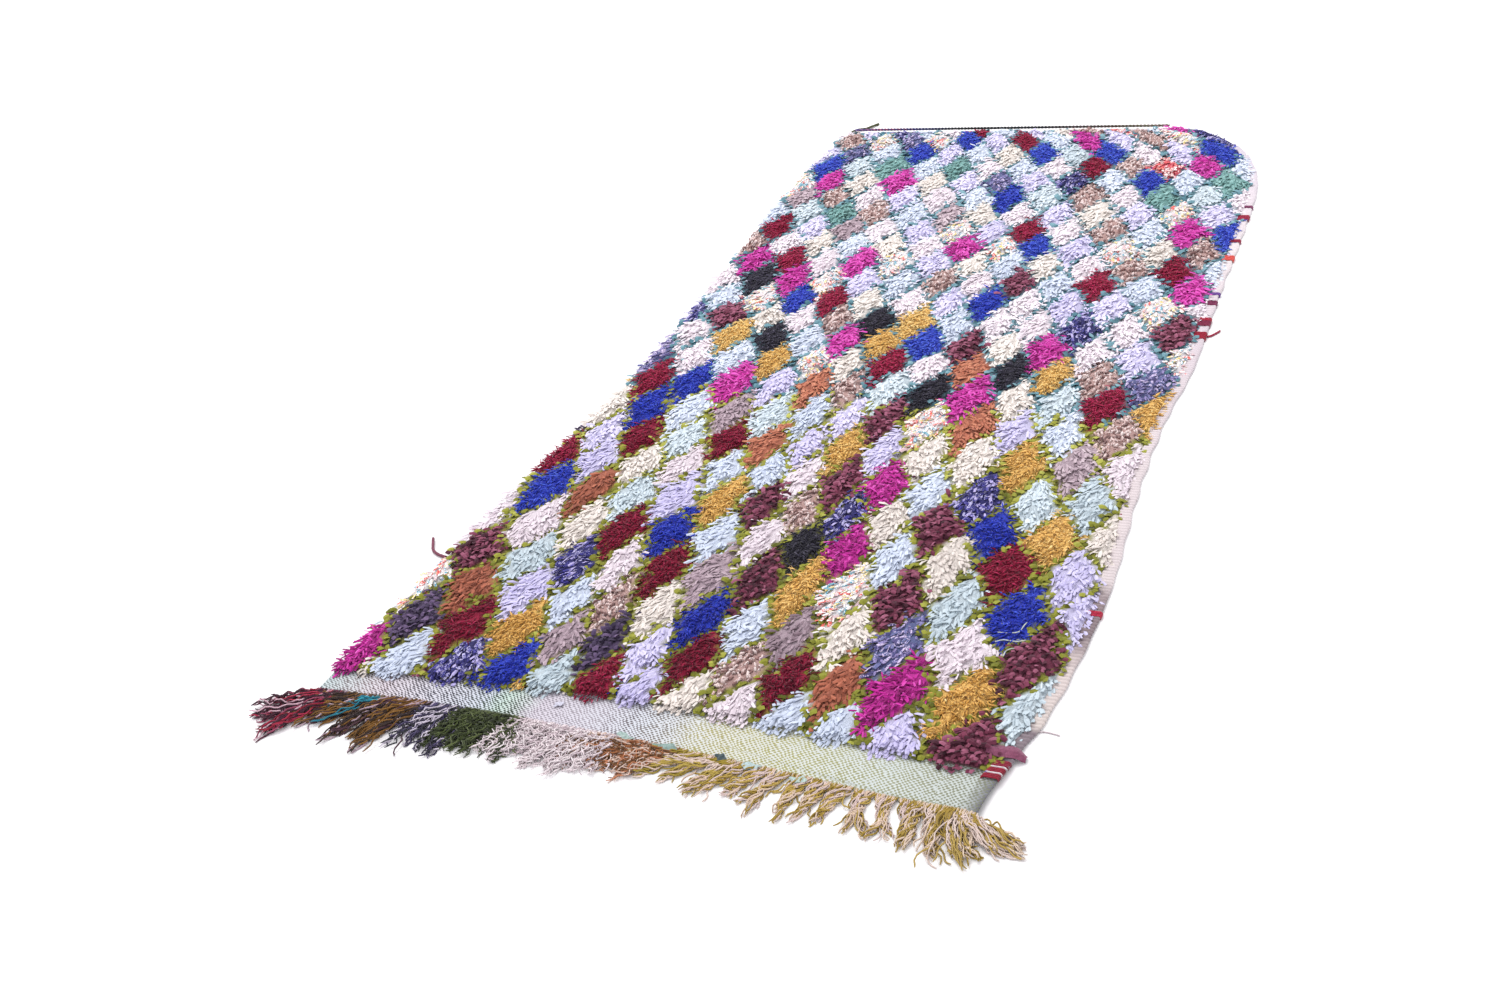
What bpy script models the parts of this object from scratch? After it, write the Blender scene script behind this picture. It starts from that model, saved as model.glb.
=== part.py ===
"""Boucherouite rug, laid flat: rag pile knotted on a woven ground, with a flat-woven end band,
a fringe of warp ends, a twined cord along the far end, and the loose rags and yarns that show.

Metres, +Z up. The origin is on the floor, under the middle of the woven cloth.
+X runs across the warps, from the left edge to the right one. +Y runs from the fringe to the far end.
"""

import math
from collections import namedtuple

import bmesh
import bpy
from mathutils import Vector

# ---- Driving dimensions -------------------------------------------------------------------
LENGTH = 2.725  # woven cloth, from the foot of the fringe to the far end
HALF_LENGTH = LENGTH / 2

# The edges of the cloth wander as hand weaving does. along is measured from the fringed end,
# as a share of LENGTH; left and right are the places of the two edges.
EdgeStation = namedtuple("EdgeStation", "along left right")
EDGES = (
    EdgeStation(0.00, -0.658, 0.655),
    EdgeStation(0.09, -0.650, 0.702),
    EdgeStation(0.20, -0.640, 0.718),
    EdgeStation(0.33, -0.612, 0.696),
    EdgeStation(0.42, -0.598, 0.692),
    EdgeStation(0.50, -0.592, 0.706),
    EdgeStation(0.62, -0.612, 0.698),
    EdgeStation(0.75, -0.634, 0.694),
    EdgeStation(0.88, -0.648, 0.685),
    EdgeStation(1.00, -0.636, 0.680),
)
FAR_CORNER_ACROSS = 0.30  # the far right corner is an elliptical quarter, this wide
FAR_CORNER_ALONG = 0.50  # and this long
NEAR_BOW = 0.014  # the fringed end bows this far inwards at its middle
NEAR_SLANT = 0.024  # and its right corner reaches this much further out than its left one

# Thicknesses
BAND_THICK = 0.005  # flat-woven band at the fringed end
SELVEDGE_THICK = 0.008
SELVEDGE_WIDTH = 0.022  # corded right edge, bare of pile
PILE_TOP = 0.022
PILE_UNEVEN = 0.0025
PILE_EDGE_TOP = 0.011  # where the pile rolls over the left and far edges
PILE_ROLL = 0.022  # width of that roll

# The flat-woven band widens from the left edge to the right one.
BAND_LEFT = 0.050
BAND_RIGHT = 0.084
CORNER_LIFT = 0.009  # the band's right corner curls off the floor
CORNER_LIFT_REACH = 0.17

# The grid that the cloth is shaped on: fixed distances from the edges, and even steps between.
LEFT_STEPS = (0.0, 0.008, PILE_ROLL)
RIGHT_STEPS = (SELVEDGE_WIDTH + 0.020, SELVEDGE_WIDTH, 0.010, 0.0)
MIDDLE_COLUMNS = 22
BAND_ROWS = 3
PILE_RISE = 0.016  # the pile reaches its height this far past the band
MIDDLE_ROWS = 24
FAR_STEPS = (0.250, 0.160, 0.100, 0.060, PILE_ROLL, 0.008, 0.0)

GAP = 0.0003  # between neighbouring pieces


def smooth_step(value):
    """0 below 0, 1 above 1, and a smooth rise between."""
    value = max(0.0, min(1.0, value))
    return value * value * (3.0 - 2.0 * value)


def curve_through(stations, field, at):
    """Value of one column of a station table, on a smooth curve through its rows."""
    rows = [stations[0], *stations, stations[-1]]
    index = 1
    while index < len(rows) - 3 and at > rows[index + 1].along:
        index += 1
    before, start, end, after = rows[index - 1 : index + 3]
    share = (at - start.along) / (end.along - start.along)
    p0, p1, p2, p3 = (getattr(row, field) for row in (before, start, end, after))
    return 0.5 * (
        2 * p1
        + (p2 - p0) * share
        + (2 * p0 - 5 * p1 + 4 * p2 - p3) * share**2
        + (3 * p1 - p0 - 3 * p2 + p3) * share**3
    )


def left_edge(y):
    """X of the left edge at a distance y from the fringed end."""
    return curve_through(EDGES, "left", y / LENGTH)


def right_edge(y):
    """X of the right edge, drawn in along the elliptical far corner."""
    into_corner = (y - (LENGTH - FAR_CORNER_ALONG)) / FAR_CORNER_ALONG
    drawn_in = 1.0 - math.sqrt(1.0 - max(0.0, min(1.0, into_corner)) ** 2)
    return curve_through(EDGES, "right", y / LENGTH) - FAR_CORNER_ACROSS * drawn_in


def near_edge(across):
    """Y of the fringed end, from its left corner, at a share of the width from the left."""
    return NEAR_BOW * math.sin(math.pi * across) - NEAR_SLANT * across**2


def band_width(across):
    """Width of the flat-woven band, in Y, at a share of the width from the left."""
    return BAND_LEFT + (BAND_RIGHT - BAND_LEFT) * smooth_step(1.6 * across)


def column_place(column, y):
    """X of a grid column at y: set distances from both edges, and even steps between them."""
    left, right = left_edge(y), right_edge(y)
    if column < len(LEFT_STEPS):
        return left + LEFT_STEPS[column]
    from_right = COLUMNS - column
    if from_right < len(RIGHT_STEPS):
        return right - RIGHT_STEPS[len(RIGHT_STEPS) - 1 - from_right]
    start, end = left + LEFT_STEPS[-1], right - RIGHT_STEPS[0]
    share = (column - len(LEFT_STEPS) + 1) / MIDDLE_COLUMNS
    return start + (end - start) * share


def row_place(row, across):
    """Y of a grid row, counted from the fringed end, at a share of the width from the left."""
    near = near_edge(across)
    pile_start = near + band_width(across)
    if row <= BAND_ROWS:
        return near + (pile_start - near) * row / BAND_ROWS
    from_far = ROWS - row
    if from_far < len(FAR_STEPS):
        return LENGTH - FAR_STEPS[len(FAR_STEPS) - 1 - from_far]
    start, end = pile_start + PILE_RISE, LENGTH - FAR_STEPS[0]
    share = (row - BAND_ROWS - 1) / MIDDLE_ROWS
    return start + (end - start) * share


COLUMNS = len(LEFT_STEPS) - 1 + MIDDLE_COLUMNS + len(RIGHT_STEPS) - 1
ROWS = BAND_ROWS + 1 + MIDDLE_ROWS + len(FAR_STEPS) - 1


def top_height(x, y, across):
    """Height of the cloth's top face: band, pile, rolled pile edges and corded right edge."""
    rise = smooth_step((y - near_edge(across) - band_width(across)) / PILE_RISE)
    uneven = PILE_UNEVEN * math.sin(9.0 * x + 1.7 * y) * math.cos(5.3 * y - 2.0 * x)
    roll = min((x - left_edge(y)) / PILE_ROLL, (LENGTH - y) / PILE_ROLL)
    pile = PILE_EDGE_TOP + (PILE_TOP + uneven - PILE_EDGE_TOP) * smooth_step(roll)
    inside = smooth_step((right_edge(y) - x - SELVEDGE_WIDTH) / 0.018)
    return BAND_THICK + (SELVEDGE_THICK - BAND_THICK + (pile - SELVEDGE_THICK) * inside) * rise


def corner_lift(x, y):
    """How far the cloth is off the floor: nothing but for the curl at the near right corner."""
    away = math.hypot(x - right_edge(0.0), y)
    return CORNER_LIFT * smooth_step(1.0 - away / CORNER_LIFT_REACH)


# ---- Materials and small helpers ----------------------------------------------------------
def cloth_material(name, colour, roughness=0.9):
    """A plain rough cloth finish."""
    material = bpy.data.materials.new(name)
    material.use_nodes = True
    shader = material.node_tree.nodes["Principled BSDF"]
    shader.inputs["Base Color"].default_value = (*colour, 1.0)
    shader.inputs["Roughness"].default_value = roughness
    shader.inputs["Metallic"].default_value = 0.0
    return material


def add_object(name, data, material, collection):
    """Links a mesh or a curve as one named object, with its material."""
    piece = bpy.data.objects.new(name, data)
    piece.data.materials.append(material)
    collection.objects.link(piece)
    return piece


def clear_scene():
    """Removes every object that the scene starts with."""
    for old in list(bpy.data.objects):
        bpy.data.objects.remove(old, do_unlink=True)


# ---- Woven cloth with its pile ------------------------------------------------------------
def build_rug(collection):
    """Ground, flat-woven band, pile and corded edge, as the one solid that is woven in one piece."""
    mesh = bpy.data.meshes.new("rug")
    form = bmesh.new()
    bmesh.ops.create_grid(form, x_segments=COLUMNS, y_segments=ROWS, size=0.5)
    places = {}
    for vert in form.verts:
        column = round((vert.co.x + 0.5) * COLUMNS)
        row = round((vert.co.y + 0.5) * ROWS)
        across = column / COLUMNS
        y = row_place(row, across)
        x = column_place(column, y)
        vert.co = (x, y, corner_lift(x, y))
        places[column, row] = top_height(x, y, across)
        vert.index = column * (ROWS + 1) + row
    grid_index = form.verts.layers.int.new("grid")
    for vert in form.verts:
        vert[grid_index] = vert.index
    raised = bmesh.ops.extrude_face_region(form, geom=form.faces[:])["geom"]
    for vert in (item for item in raised if isinstance(item, bmesh.types.BMVert)):
        column, row = divmod(vert[grid_index], ROWS + 1)
        vert.co.z += places[column, row]
    bmesh.ops.translate(form, vec=(0.0, -HALF_LENGTH, 0.0), verts=form.verts[:])
    bmesh.ops.recalc_face_normals(form, faces=form.faces[:])
    form.to_mesh(mesh)
    form.free()
    mesh.shade_smooth()
    mesh.set_sharp_from_angle(angle=math.radians(35))
    return add_object("rug", mesh, cloth_material("rag_pile", (0.72, 0.62, 0.62)), collection)


# ---- Fringe -------------------------------------------------------------------------------
# One comb. lean is the angle of a bunch from straight out, in degrees, positive to the right;
# length and crown are a bunch's reach along its own line and its height where it is fullest.
FringeStation = namedtuple("FringeStation", "along lean length crown")
FRINGE = (
    FringeStation(0.00, -44.0, 0.120, 0.022),
    FringeStation(0.14, -34.0, 0.132, 0.024),
    FringeStation(0.30, -16.0, 0.104, 0.024),
    FringeStation(0.46, -12.0, 0.098, 0.018),
    FringeStation(0.62, -11.0, 0.112, 0.014),
    FringeStation(0.80, 4.0, 0.096, 0.013),
    FringeStation(0.93, 22.0, 0.102, 0.014),
    FringeStation(1.00, 45.0, 0.118, 0.014),
)
BUNCHES = 30
BUNCH_SPACING = 0.78  # share of the comb's back that the bunches' roots take
HEADING_DEPTH = 0.010
HEADING_THICK = 0.006
FRONT_LIFT = 0.5  # the heading's front is lifted this share of what the cloth behind it is
LENGTH_CHANGES = (1.0, 0.88, 1.06, 0.80, 0.97)  # a bunch is longer or shorter than its neighbours
# Sections of a bunch: how far along it, its width against its root, and its height against crown.
BunchSection = namedtuple("BunchSection", "reach width height")
BUNCH_SECTIONS = (
    BunchSection(0.22, 1.00, 0.85),
    BunchSection(0.50, 0.98, 1.00),
    BunchSection(0.80, 0.78, 0.62),
    BunchSection(1.00, 0.34, 0.30),
)
BUNCH_SWING = 7.0  # degrees that a bunch turns along its length, alternately each way


def heading_back(across):
    """Point of the fringed end at a share of the width, in the frame's X and Y."""
    y = near_edge(across)
    left, right = left_edge(0.0), right_edge(0.0)
    return Vector((left + (right - left) * across, y - HALF_LENGTH - GAP, 0.0))


def grow_bunch(form, root_face, number):
    """Extrudes one bunch of warp ends out of the heading, section by section."""
    across = (number + 0.5) / BUNCHES
    lean = curve_through(FRINGE, "lean", across)
    length = curve_through(FRINGE, "length", across) * LENGTH_CHANGES[number % len(LENGTH_CHANGES)]
    crown = curve_through(FRINGE, "crown", across)
    root = root_face.calc_center_median()
    root_width = max(v.co.x for v in root_face.verts) - min(v.co.x for v in root_face.verts)
    half_width = root_width / 2 * math.cos(math.radians(lean))
    swing = BUNCH_SWING if number % 2 else -BUNCH_SWING
    place = Vector((root.x, root.y, 0.0))
    reached = 0.0
    face = root_face
    for section in BUNCH_SECTIONS:
        heading = math.radians(lean + swing * (section.reach - 0.5))
        outward = Vector((math.sin(heading), -math.cos(heading), 0.0))
        sideways = Vector((math.cos(heading), math.sin(heading), 0.0))
        place = place + outward * (section.reach - reached) * length
        reached = section.reach
        face = bmesh.ops.extrude_discrete_faces(form, faces=[face])["faces"][0]
        middle = face.calc_center_median()
        for vert in face.verts:
            side = 1.0 if (vert.co - middle).dot(sideways) > 0 else -1.0
            height = crown * section.height if vert.co.z > middle.z else GAP
            vert.co = place + sideways * side * half_width * section.width
            vert.co.z = height


def build_fringe(collection):
    """The warp ends as one comb: a narrow heading against the cloth, with a bunch for each tooth."""
    mesh = bpy.data.meshes.new("fringe")
    form = bmesh.new()
    columns = 2 * BUNCHES
    bmesh.ops.create_grid(form, x_segments=columns, y_segments=1, size=0.5)
    for vert in form.verts:
        column = round((vert.co.x + 0.5) * columns)
        pair, is_root_end = divmod(column, 2)
        across = min(1.0, (pair + BUNCH_SPACING * is_root_end) / BUNCHES)
        back = heading_back(across)
        is_front = vert.co.y < 0
        lift = corner_lift(back.x, 0.0) * (FRONT_LIFT if is_front else 1.0)
        vert.co = (back.x, back.y - (HEADING_DEPTH if is_front else 0.0), lift)
    raised = bmesh.ops.extrude_face_region(form, geom=form.faces[:])["geom"]
    tops = [item for item in raised if isinstance(item, bmesh.types.BMVert)]
    bmesh.ops.translate(form, vec=(0.0, 0.0, HEADING_THICK), verts=tops)
    bmesh.ops.recalc_face_normals(form, faces=form.faces[:])
    fronts = [face for face in form.faces if face.normal.y < -0.9]
    fronts.sort(key=lambda face: face.calc_center_median().x)
    for number, root_face in enumerate(fronts[0::2]):
        grow_bunch(form, root_face, number)
    bmesh.ops.recalc_face_normals(form, faces=form.faces[:])
    form.to_mesh(mesh)
    form.free()
    return add_object("fringe", mesh, cloth_material("warp_ends", (0.45, 0.36, 0.28)), collection)


# ---- Cords and loose ends -----------------------------------------------------------------
def smooth_route(points, steps):
    """Points read from a smooth curve through a route's own points."""
    ends = [points[0], *points, points[-1]]
    route = []
    for index in range(1, len(ends) - 2):
        p0, p1, p2, p3 = (Vector(point) for point in ends[index - 1 : index + 3])
        for step in range(steps):
            t = step / steps
            route.append(
                0.5
                * (
                    2 * p1
                    + (p2 - p0) * t
                    + (2 * p0 - 5 * p1 + 4 * p2 - p3) * t**2
                    + (3 * p1 - p0 - 3 * p2 + p3) * t**3
                )
            )
    route.append(Vector(points[-1]))
    return route


def build_cord(name, route, diameter, material, collection):
    """A yarn or rag tube along a route, with closed ends."""
    curve = bpy.data.curves.new(name, "CURVE")
    curve.dimensions = "3D"
    curve.bevel_depth = diameter / 2
    curve.bevel_resolution = 2
    curve.use_fill_caps = True
    spline = curve.splines.new("POLY")
    spline.points.add(len(route) - 1)
    for point, place in zip(spline.points, route):
        point.co = (*place, 1.0)
    return add_object(name, curve, material, collection)


FAR_CORD_DIAMETER = 0.008
FAR_CORD_START = 0.024  # from the left corner
FAR_CORD_END = 0.370  # X, where the far corner begins to turn
FAR_CORD_POINTS = 40


def build_far_cord(collection):
    """The twined cord that closes the far end, lying against the cloth."""
    radius = FAR_CORD_DIAMETER / 2
    start = left_edge(LENGTH) + FAR_CORD_START
    y = HALF_LENGTH + GAP + radius
    route = []
    for number in range(FAR_CORD_POINTS + 1):
        share = number / FAR_CORD_POINTS
        route.append((start + (FAR_CORD_END - start) * share, y, radius + GAP))
    material = cloth_material("edge_cord", (0.12, 0.12, 0.10))
    return build_cord("far_edge_cord", route, FAR_CORD_DIAMETER, material, collection)


# Loose ends. Each leaves one edge of the cloth, at a place along it; points are then the
# steps of its route from that root: across, along and up.
LooseEnd = namedtuple("LooseEnd", "name diameter colour edge at points")
LOOSE_ENDS = (
    LooseEnd(
        "corner_tail",
        0.008,
        (0.10, 0.11, 0.06),
        "far",
        -0.626,
        (
            (0.000, 0.001, 0.0046),
            (0.003, 0.012, 0.0055),
            (0.018, 0.026, 0.0060),
            (0.040, 0.033, 0.0058),
            (0.050, 0.050, 0.0052),
            (0.067, 0.074, 0.0046),
        ),
    ),
    LooseEnd(
        "left_rag_tail",
        0.007,
        (0.22, 0.05, 0.07),
        "left",
        0.421,
        (
            (-0.001, 0.000, 0.0042),
            (-0.010, 0.002, 0.0040),
            (-0.028, 0.007, 0.0038),
            (-0.047, 0.018, 0.0040),
            (-0.060, 0.036, 0.0048),
            (-0.072, 0.055, 0.0060),
        ),
    ),
    LooseEnd(
        "right_yarn_tail",
        0.005,
        (0.35, 0.03, 0.07),
        "right",
        1.511,
        (
            (0.001, 0.000, 0.0030),
            (0.007, 0.001, 0.0028),
            (0.014, 0.009, 0.0027),
            (0.021, 0.020, 0.0027),
            (0.025, 0.028, 0.0027),
        ),
    ),
    LooseEnd(
        "right_thread",
        0.0024,
        (0.50, 0.38, 0.42),
        "right",
        0.187,
        (
            (0.001, 0.000, 0.0018),
            (0.012, 0.002, 0.0016),
            (0.023, 0.001, 0.0016),
            (0.035, -0.001, 0.0016),
        ),
    ),
)
LOOSE_END_STEPS = 3


def edge_root(edge, at):
    """The floor point where a loose end leaves an edge of the cloth."""
    if edge == "far":
        return Vector((at, HALF_LENGTH, 0.0))
    x = left_edge(at) if edge == "left" else right_edge(at)
    return Vector((x, at - HALF_LENGTH, 0.0))


def build_loose_ends(collection):
    """The yarn and rag ends that stick out past the edges."""
    for end in LOOSE_ENDS:
        root = edge_root(end.edge, end.at)
        route = smooth_route([root + Vector(point) for point in end.points], LOOSE_END_STEPS)
        material = cloth_material(end.name, end.colour)
        build_cord(end.name, route, end.diameter, material, collection)


CORNER_RAG_ALONG = 0.114  # distance of its middle from the fringed end
CORNER_RAG_INSIDE = 0.020  # it lies this far over the corded edge
CORNER_RAG_LENGTH = 0.048
CORNER_RAG_WIDTH = 0.021
CORNER_RAG_THICK = 0.0015
CORNER_RAG_HEIGHT = 0.0122  # where it lies on the edge
CORNER_RAG_DROOP = 0.006  # of its tip, past the edge
CORNER_RAG_SEGMENTS = 10


def build_corner_rag(collection):
    """The flat strip of rag that lies over the corded edge by the near right corner."""
    mesh = bpy.data.meshes.new("corner_rag")
    form = bmesh.new()
    bmesh.ops.create_grid(form, x_segments=CORNER_RAG_SEGMENTS, y_segments=2, size=0.5)
    for vert in form.verts:
        share = vert.co.x + 0.5
        taper = 0.55 + 0.45 * math.sin(math.pi * min(1.0, 0.15 + share))
        past_edge = smooth_step((share * CORNER_RAG_LENGTH - CORNER_RAG_INSIDE) / CORNER_RAG_LENGTH)
        vert.co.x = share * CORNER_RAG_LENGTH - CORNER_RAG_INSIDE
        vert.co.y *= CORNER_RAG_WIDTH * taper
        vert.co.z = CORNER_RAG_HEIGHT - CORNER_RAG_DROOP * past_edge
    raised = bmesh.ops.extrude_face_region(form, geom=form.faces[:])["geom"]
    tops = [item for item in raised if isinstance(item, bmesh.types.BMVert)]
    bmesh.ops.translate(form, vec=(0.0, 0.0, CORNER_RAG_THICK), verts=tops)
    place = edge_root("right", CORNER_RAG_ALONG)
    bmesh.ops.translate(form, vec=place, verts=form.verts[:])
    bmesh.ops.recalc_face_normals(form, faces=form.faces[:])
    form.to_mesh(mesh)
    form.free()
    material = cloth_material("corner_rag", (0.22, 0.08, 0.12))
    return add_object("corner_rag", mesh, material, collection)


def main():
    """Builds the whole rug."""
    clear_scene()
    collection = bpy.data.collections.new("boucherouite_rug")
    bpy.context.scene.collection.children.link(collection)
    build_rug(collection)
    build_fringe(collection)
    build_far_cord(collection)
    build_loose_ends(collection)
    build_corner_rag(collection)


main()
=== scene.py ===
"""Looks of the boucherouite rug: rag pile, woven band, fringe, edges, cords and loose ends.

Metres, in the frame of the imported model. +X runs across the rug, +Y from the fringed end to
the far end and +Z up, with the floor at zero and the origin under the middle of the cloth.
"""

import logging
import math
from collections.abc import Sequence
from dataclasses import dataclass, field
from enum import Enum

import bmesh
import bpy
import numpy as np
from mathutils import Matrix, Vector


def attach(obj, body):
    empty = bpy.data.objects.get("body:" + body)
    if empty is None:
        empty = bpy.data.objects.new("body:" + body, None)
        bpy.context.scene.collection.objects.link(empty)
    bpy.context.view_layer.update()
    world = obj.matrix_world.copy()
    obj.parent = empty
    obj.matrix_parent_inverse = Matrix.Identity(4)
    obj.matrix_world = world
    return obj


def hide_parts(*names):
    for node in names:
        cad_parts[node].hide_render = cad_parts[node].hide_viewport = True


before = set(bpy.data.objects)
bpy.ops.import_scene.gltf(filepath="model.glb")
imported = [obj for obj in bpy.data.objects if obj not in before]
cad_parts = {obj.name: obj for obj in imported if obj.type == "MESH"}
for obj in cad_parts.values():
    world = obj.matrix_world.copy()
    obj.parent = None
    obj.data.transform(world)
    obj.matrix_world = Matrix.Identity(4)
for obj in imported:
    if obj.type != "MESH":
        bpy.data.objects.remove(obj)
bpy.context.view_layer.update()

LOG = logging.getLogger("boucherouite")

Colour = tuple[int, int, int]
Stop = tuple[float, Colour]
Array = np.ndarray
Wave = tuple[float, float, float]  # size, length in metres, turn in radians

SEED = 7301
UNDERSIDE = 0.0004  # height of the cloth's underside off the floor
WHOLE_TURN = 2 * math.pi


# ---- Numbers and curves -------------------------------------------------------------------
def linear(colour: Colour) -> tuple[float, float, float, float]:
    """Turns a screen colour into the linear one that shaders take.

    Args:
        colour: Red, green and blue, 0 to 255, as a screen shows them.

    Returns:
        Linear red, green and blue, and a full alpha.
    """
    shares = (channel / 255 for channel in colour)
    red, green, blue = (s / 12.92 if s <= 0.04045 else ((s + 0.055) / 1.055) ** 2.4 for s in shares)
    return red, green, blue, 1.0


def ease(value: Array | float) -> Array:
    """Returns 0 below 0, 1 above 1, and a smooth rise between."""
    held = np.clip(value, 0.0, 1.0)
    return held * held * (3.0 - 2.0 * held)


def through(stations: Array, values: Array, at: Array | float) -> Array:
    """Reads a smooth curve through a table's values.

    Args:
        stations: Where the values stand, rising.
        values: The value at each station.
        at: The places to read.

    Returns:
        The curve's value at each place.
    """
    last = len(stations) - 1
    start = np.clip(np.searchsorted(stations, at, side="right") - 1, 0, last - 1)
    share = (at - stations[start]) / (stations[start + 1] - stations[start])
    p0, p1 = values[np.maximum(start - 1, 0)], values[start]
    p2, p3 = values[start + 1], values[np.minimum(start + 2, last)]
    bend = (2 * p0 - 5 * p1 + 4 * p2 - p3) * share**2 + (3 * p1 - p0 - 3 * p2 + p3) * share**3
    return 0.5 * (2 * p1 + (p2 - p0) * share + bend)


def smooth_route(points: Sequence[Vector], steps: int) -> list[Vector]:
    """Reads points from a smooth curve through a route's own points.

    Args:
        points: The route's points.
        steps: How many points to read for each stretch between two of them.

    Returns:
        The points read, from the first of the route to its last.
    """
    stations = np.arange(len(points), dtype=float)
    places = np.linspace(0.0, len(points) - 1.0, (len(points) - 1) * steps + 1)
    places = np.minimum(places, len(points) - 1.0)
    axes = [through(stations, np.array([p[axis] for p in points]), places) for axis in range(3)]
    return [Vector(place) for place in zip(*axes)]


def ripple(x: Array, y: Array, wave: float, turn: float) -> Array:
    """Returns slow waves over the cloth, between about -1 and 1, of about the given length."""
    k = WHOLE_TURN / wave
    first = np.sin(k * (x * math.cos(turn) + y * math.sin(turn)) + 3.1 * turn)
    second = np.sin(0.61 * k * (y * math.cos(turn) - x * math.sin(turn)) + 1.7 + turn)
    return 0.6 * first + 0.4 * second


def rippled(values: Array, x: Array, y: Array, waves: Sequence[Wave]) -> Array:
    """Adds slow waves over the cloth to values."""
    for size, length, turn in waves:
        values = values + size * ripple(x, y, length, turn)
    return values


def running(steps: Array) -> Array:
    """Sums steps along each strand, from 0 at its root; the first column is not a step."""
    start = np.zeros((steps.shape[0], 1))
    return np.concatenate([start, np.cumsum(steps[:, 1:], axis=1)], axis=1)


# ---- The cloth's own sizes ----------------------------------------------------------------
@dataclass(frozen=True)
class ClothShape:
    """Outline and relief of the woven cloth. Its y is the distance from the fringed end."""

    length: float = 2.725
    stations: tuple[float, ...] = (0.0, 0.09, 0.20, 0.33, 0.42, 0.50, 0.62, 0.75, 0.88, 1.0)
    lefts: tuple[float, ...] = (
        -0.658, -0.650, -0.640, -0.612, -0.598, -0.592, -0.612, -0.634, -0.648, -0.636,
    )
    rights: tuple[float, ...] = (
        0.655, 0.702, 0.718, 0.696, 0.692, 0.706, 0.698, 0.694, 0.685, 0.680,
    )
    corner_across: float = 0.30
    corner_along: float = 0.50
    near_bow: float = 0.014
    near_slant: float = 0.024
    near_dip: float = 0.010
    band_left: float = 0.050
    band_right: float = 0.084
    band_thick: float = 0.005
    selvedge_width: float = 0.024
    selvedge_thick: float = 0.008
    lift_height: float = 0.009
    lift_reach: float = 0.17

    @property
    def half(self) -> float:
        """Half the woven length."""
        return self.length / 2

    def left(self, y: Array | float) -> Array:
        """X of the left edge."""
        return through(np.array(self.stations), np.array(self.lefts), y / self.length)

    def right(self, y: Array | float) -> Array:
        """X of the right edge, drawn in along the rounded far corner."""
        into = np.clip((y - self.length + self.corner_along) / self.corner_along, 0.0, 1.0)
        straight = through(np.array(self.stations), np.array(self.rights), y / self.length)
        return straight - self.corner_across * (1.0 - np.sqrt(1.0 - into**2))

    def across(self, x: Array, y: Array) -> Array:
        """Share of the width from the left edge."""
        left = self.left(y)
        return (x - left) / (self.right(y) - left)

    def near(self, across: Array | float) -> Array:
        """Y of the fringed end at a share of the width."""
        dip = self.near_dip * (1.0 - ease(across / 0.2))
        return self.near_bow * np.sin(math.pi * across) - self.near_slant * across**2 - dip

    def band(self, across: Array | float) -> Array:
        """Width of the flat-woven band at a share of the width."""
        return self.band_left + (self.band_right - self.band_left) * ease(1.6 * across)

    def lift(self, x: Array, y: Array) -> Array:
        """How far the near right corner curls off the floor."""
        away = np.hypot(x - self.rights[0], y)
        return self.lift_height * ease(1.0 - away / self.lift_reach)


@dataclass(frozen=True)
class Lattice:
    """The net of lozenges. Rows count half lozenges from the fringed end, columns whole ones."""

    shape: ClothShape
    columns: float = 12.75
    first_centre: float = 0.10
    column_drift: float = 0.26
    first_row: float = 0.104
    near_step: float = 0.1190
    far_step: float = 0.1030
    change_from: float = 1.15
    change_over: float = 0.35
    drift_fade: float = 0.75
    near_line: float = 0.056
    far_line: float = 0.042
    column_waves: tuple[Wave, ...] = ((0.085, 0.47, 0.4), (0.045, 0.19, 2.2), (0.055, 0.058, 0.8))
    row_waves: tuple[Wave, ...] = ((0.11, 0.55, 1.3), (0.07, 0.21, 0.2), (0.088, 0.049, 2.0))

    def row_place(self, y: Array) -> Array:
        """Row number, with its fraction, at a distance from the fringed end."""
        marks = np.linspace(0.0, self.shape.length, 400)
        blend = ease((marks - self.change_from) / self.change_over)
        steps = self.near_step + (self.far_step - self.near_step) * blend
        rows = np.concatenate([[0.0], np.cumsum(np.diff(marks) / steps[1:])])
        rows -= np.interp(self.first_row, marks, rows)
        return np.interp(y, marks, rows)

    def cells(self, x: Array, y: Array) -> tuple[Array, Array, Array]:
        """Finds the lozenge at each place.

        Args:
            x: Places across the rug.
            y: Distances from the fringed end.

        Returns:
            The lozenge's row, its column, and how far the place is inside its outline: 0 on the
            middle of the line round it, 0.5 at its centre.
        """
        share = self.shape.across(x, y)
        fade = 1.0 - self.drift_fade * ease((y - 0.6) / 1.2)
        column = self.columns * share - self.first_centre
        column = column - self.column_drift * fade * np.sin(WHOLE_TURN * share)
        column = rippled(column, x, y, self.column_waves)
        row = rippled(self.row_place(y), x, y, self.row_waves)
        rising, falling = column + row / 2, column - row / 2
        up, down = np.round(rising), np.round(falling)
        inside = 0.5 - np.maximum(np.abs(rising - up), np.abs(falling - down))
        return (up - down).astype(int), np.floor((up + down) / 2).astype(int), inside


# ---- Meshes made of many copies -----------------------------------------------------------
def unit_prism(sides: int) -> bmesh.types.BMesh:
    """Starts a closed prism of radius 1 that stands on the origin and is 1 high."""
    form = bmesh.new()
    bmesh.ops.create_cone(form, cap_ends=True, segments=sides, radius1=1.0, radius2=1.0, depth=1.0)
    bmesh.ops.translate(form, vec=(0.0, 0.0, 0.5), verts=form.verts[:])
    return form


def points_of(form: bmesh.types.BMesh) -> Array:
    """Reads the points of a form, one row each."""
    return np.array([tuple(vert.co) for vert in form.verts])


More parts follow.
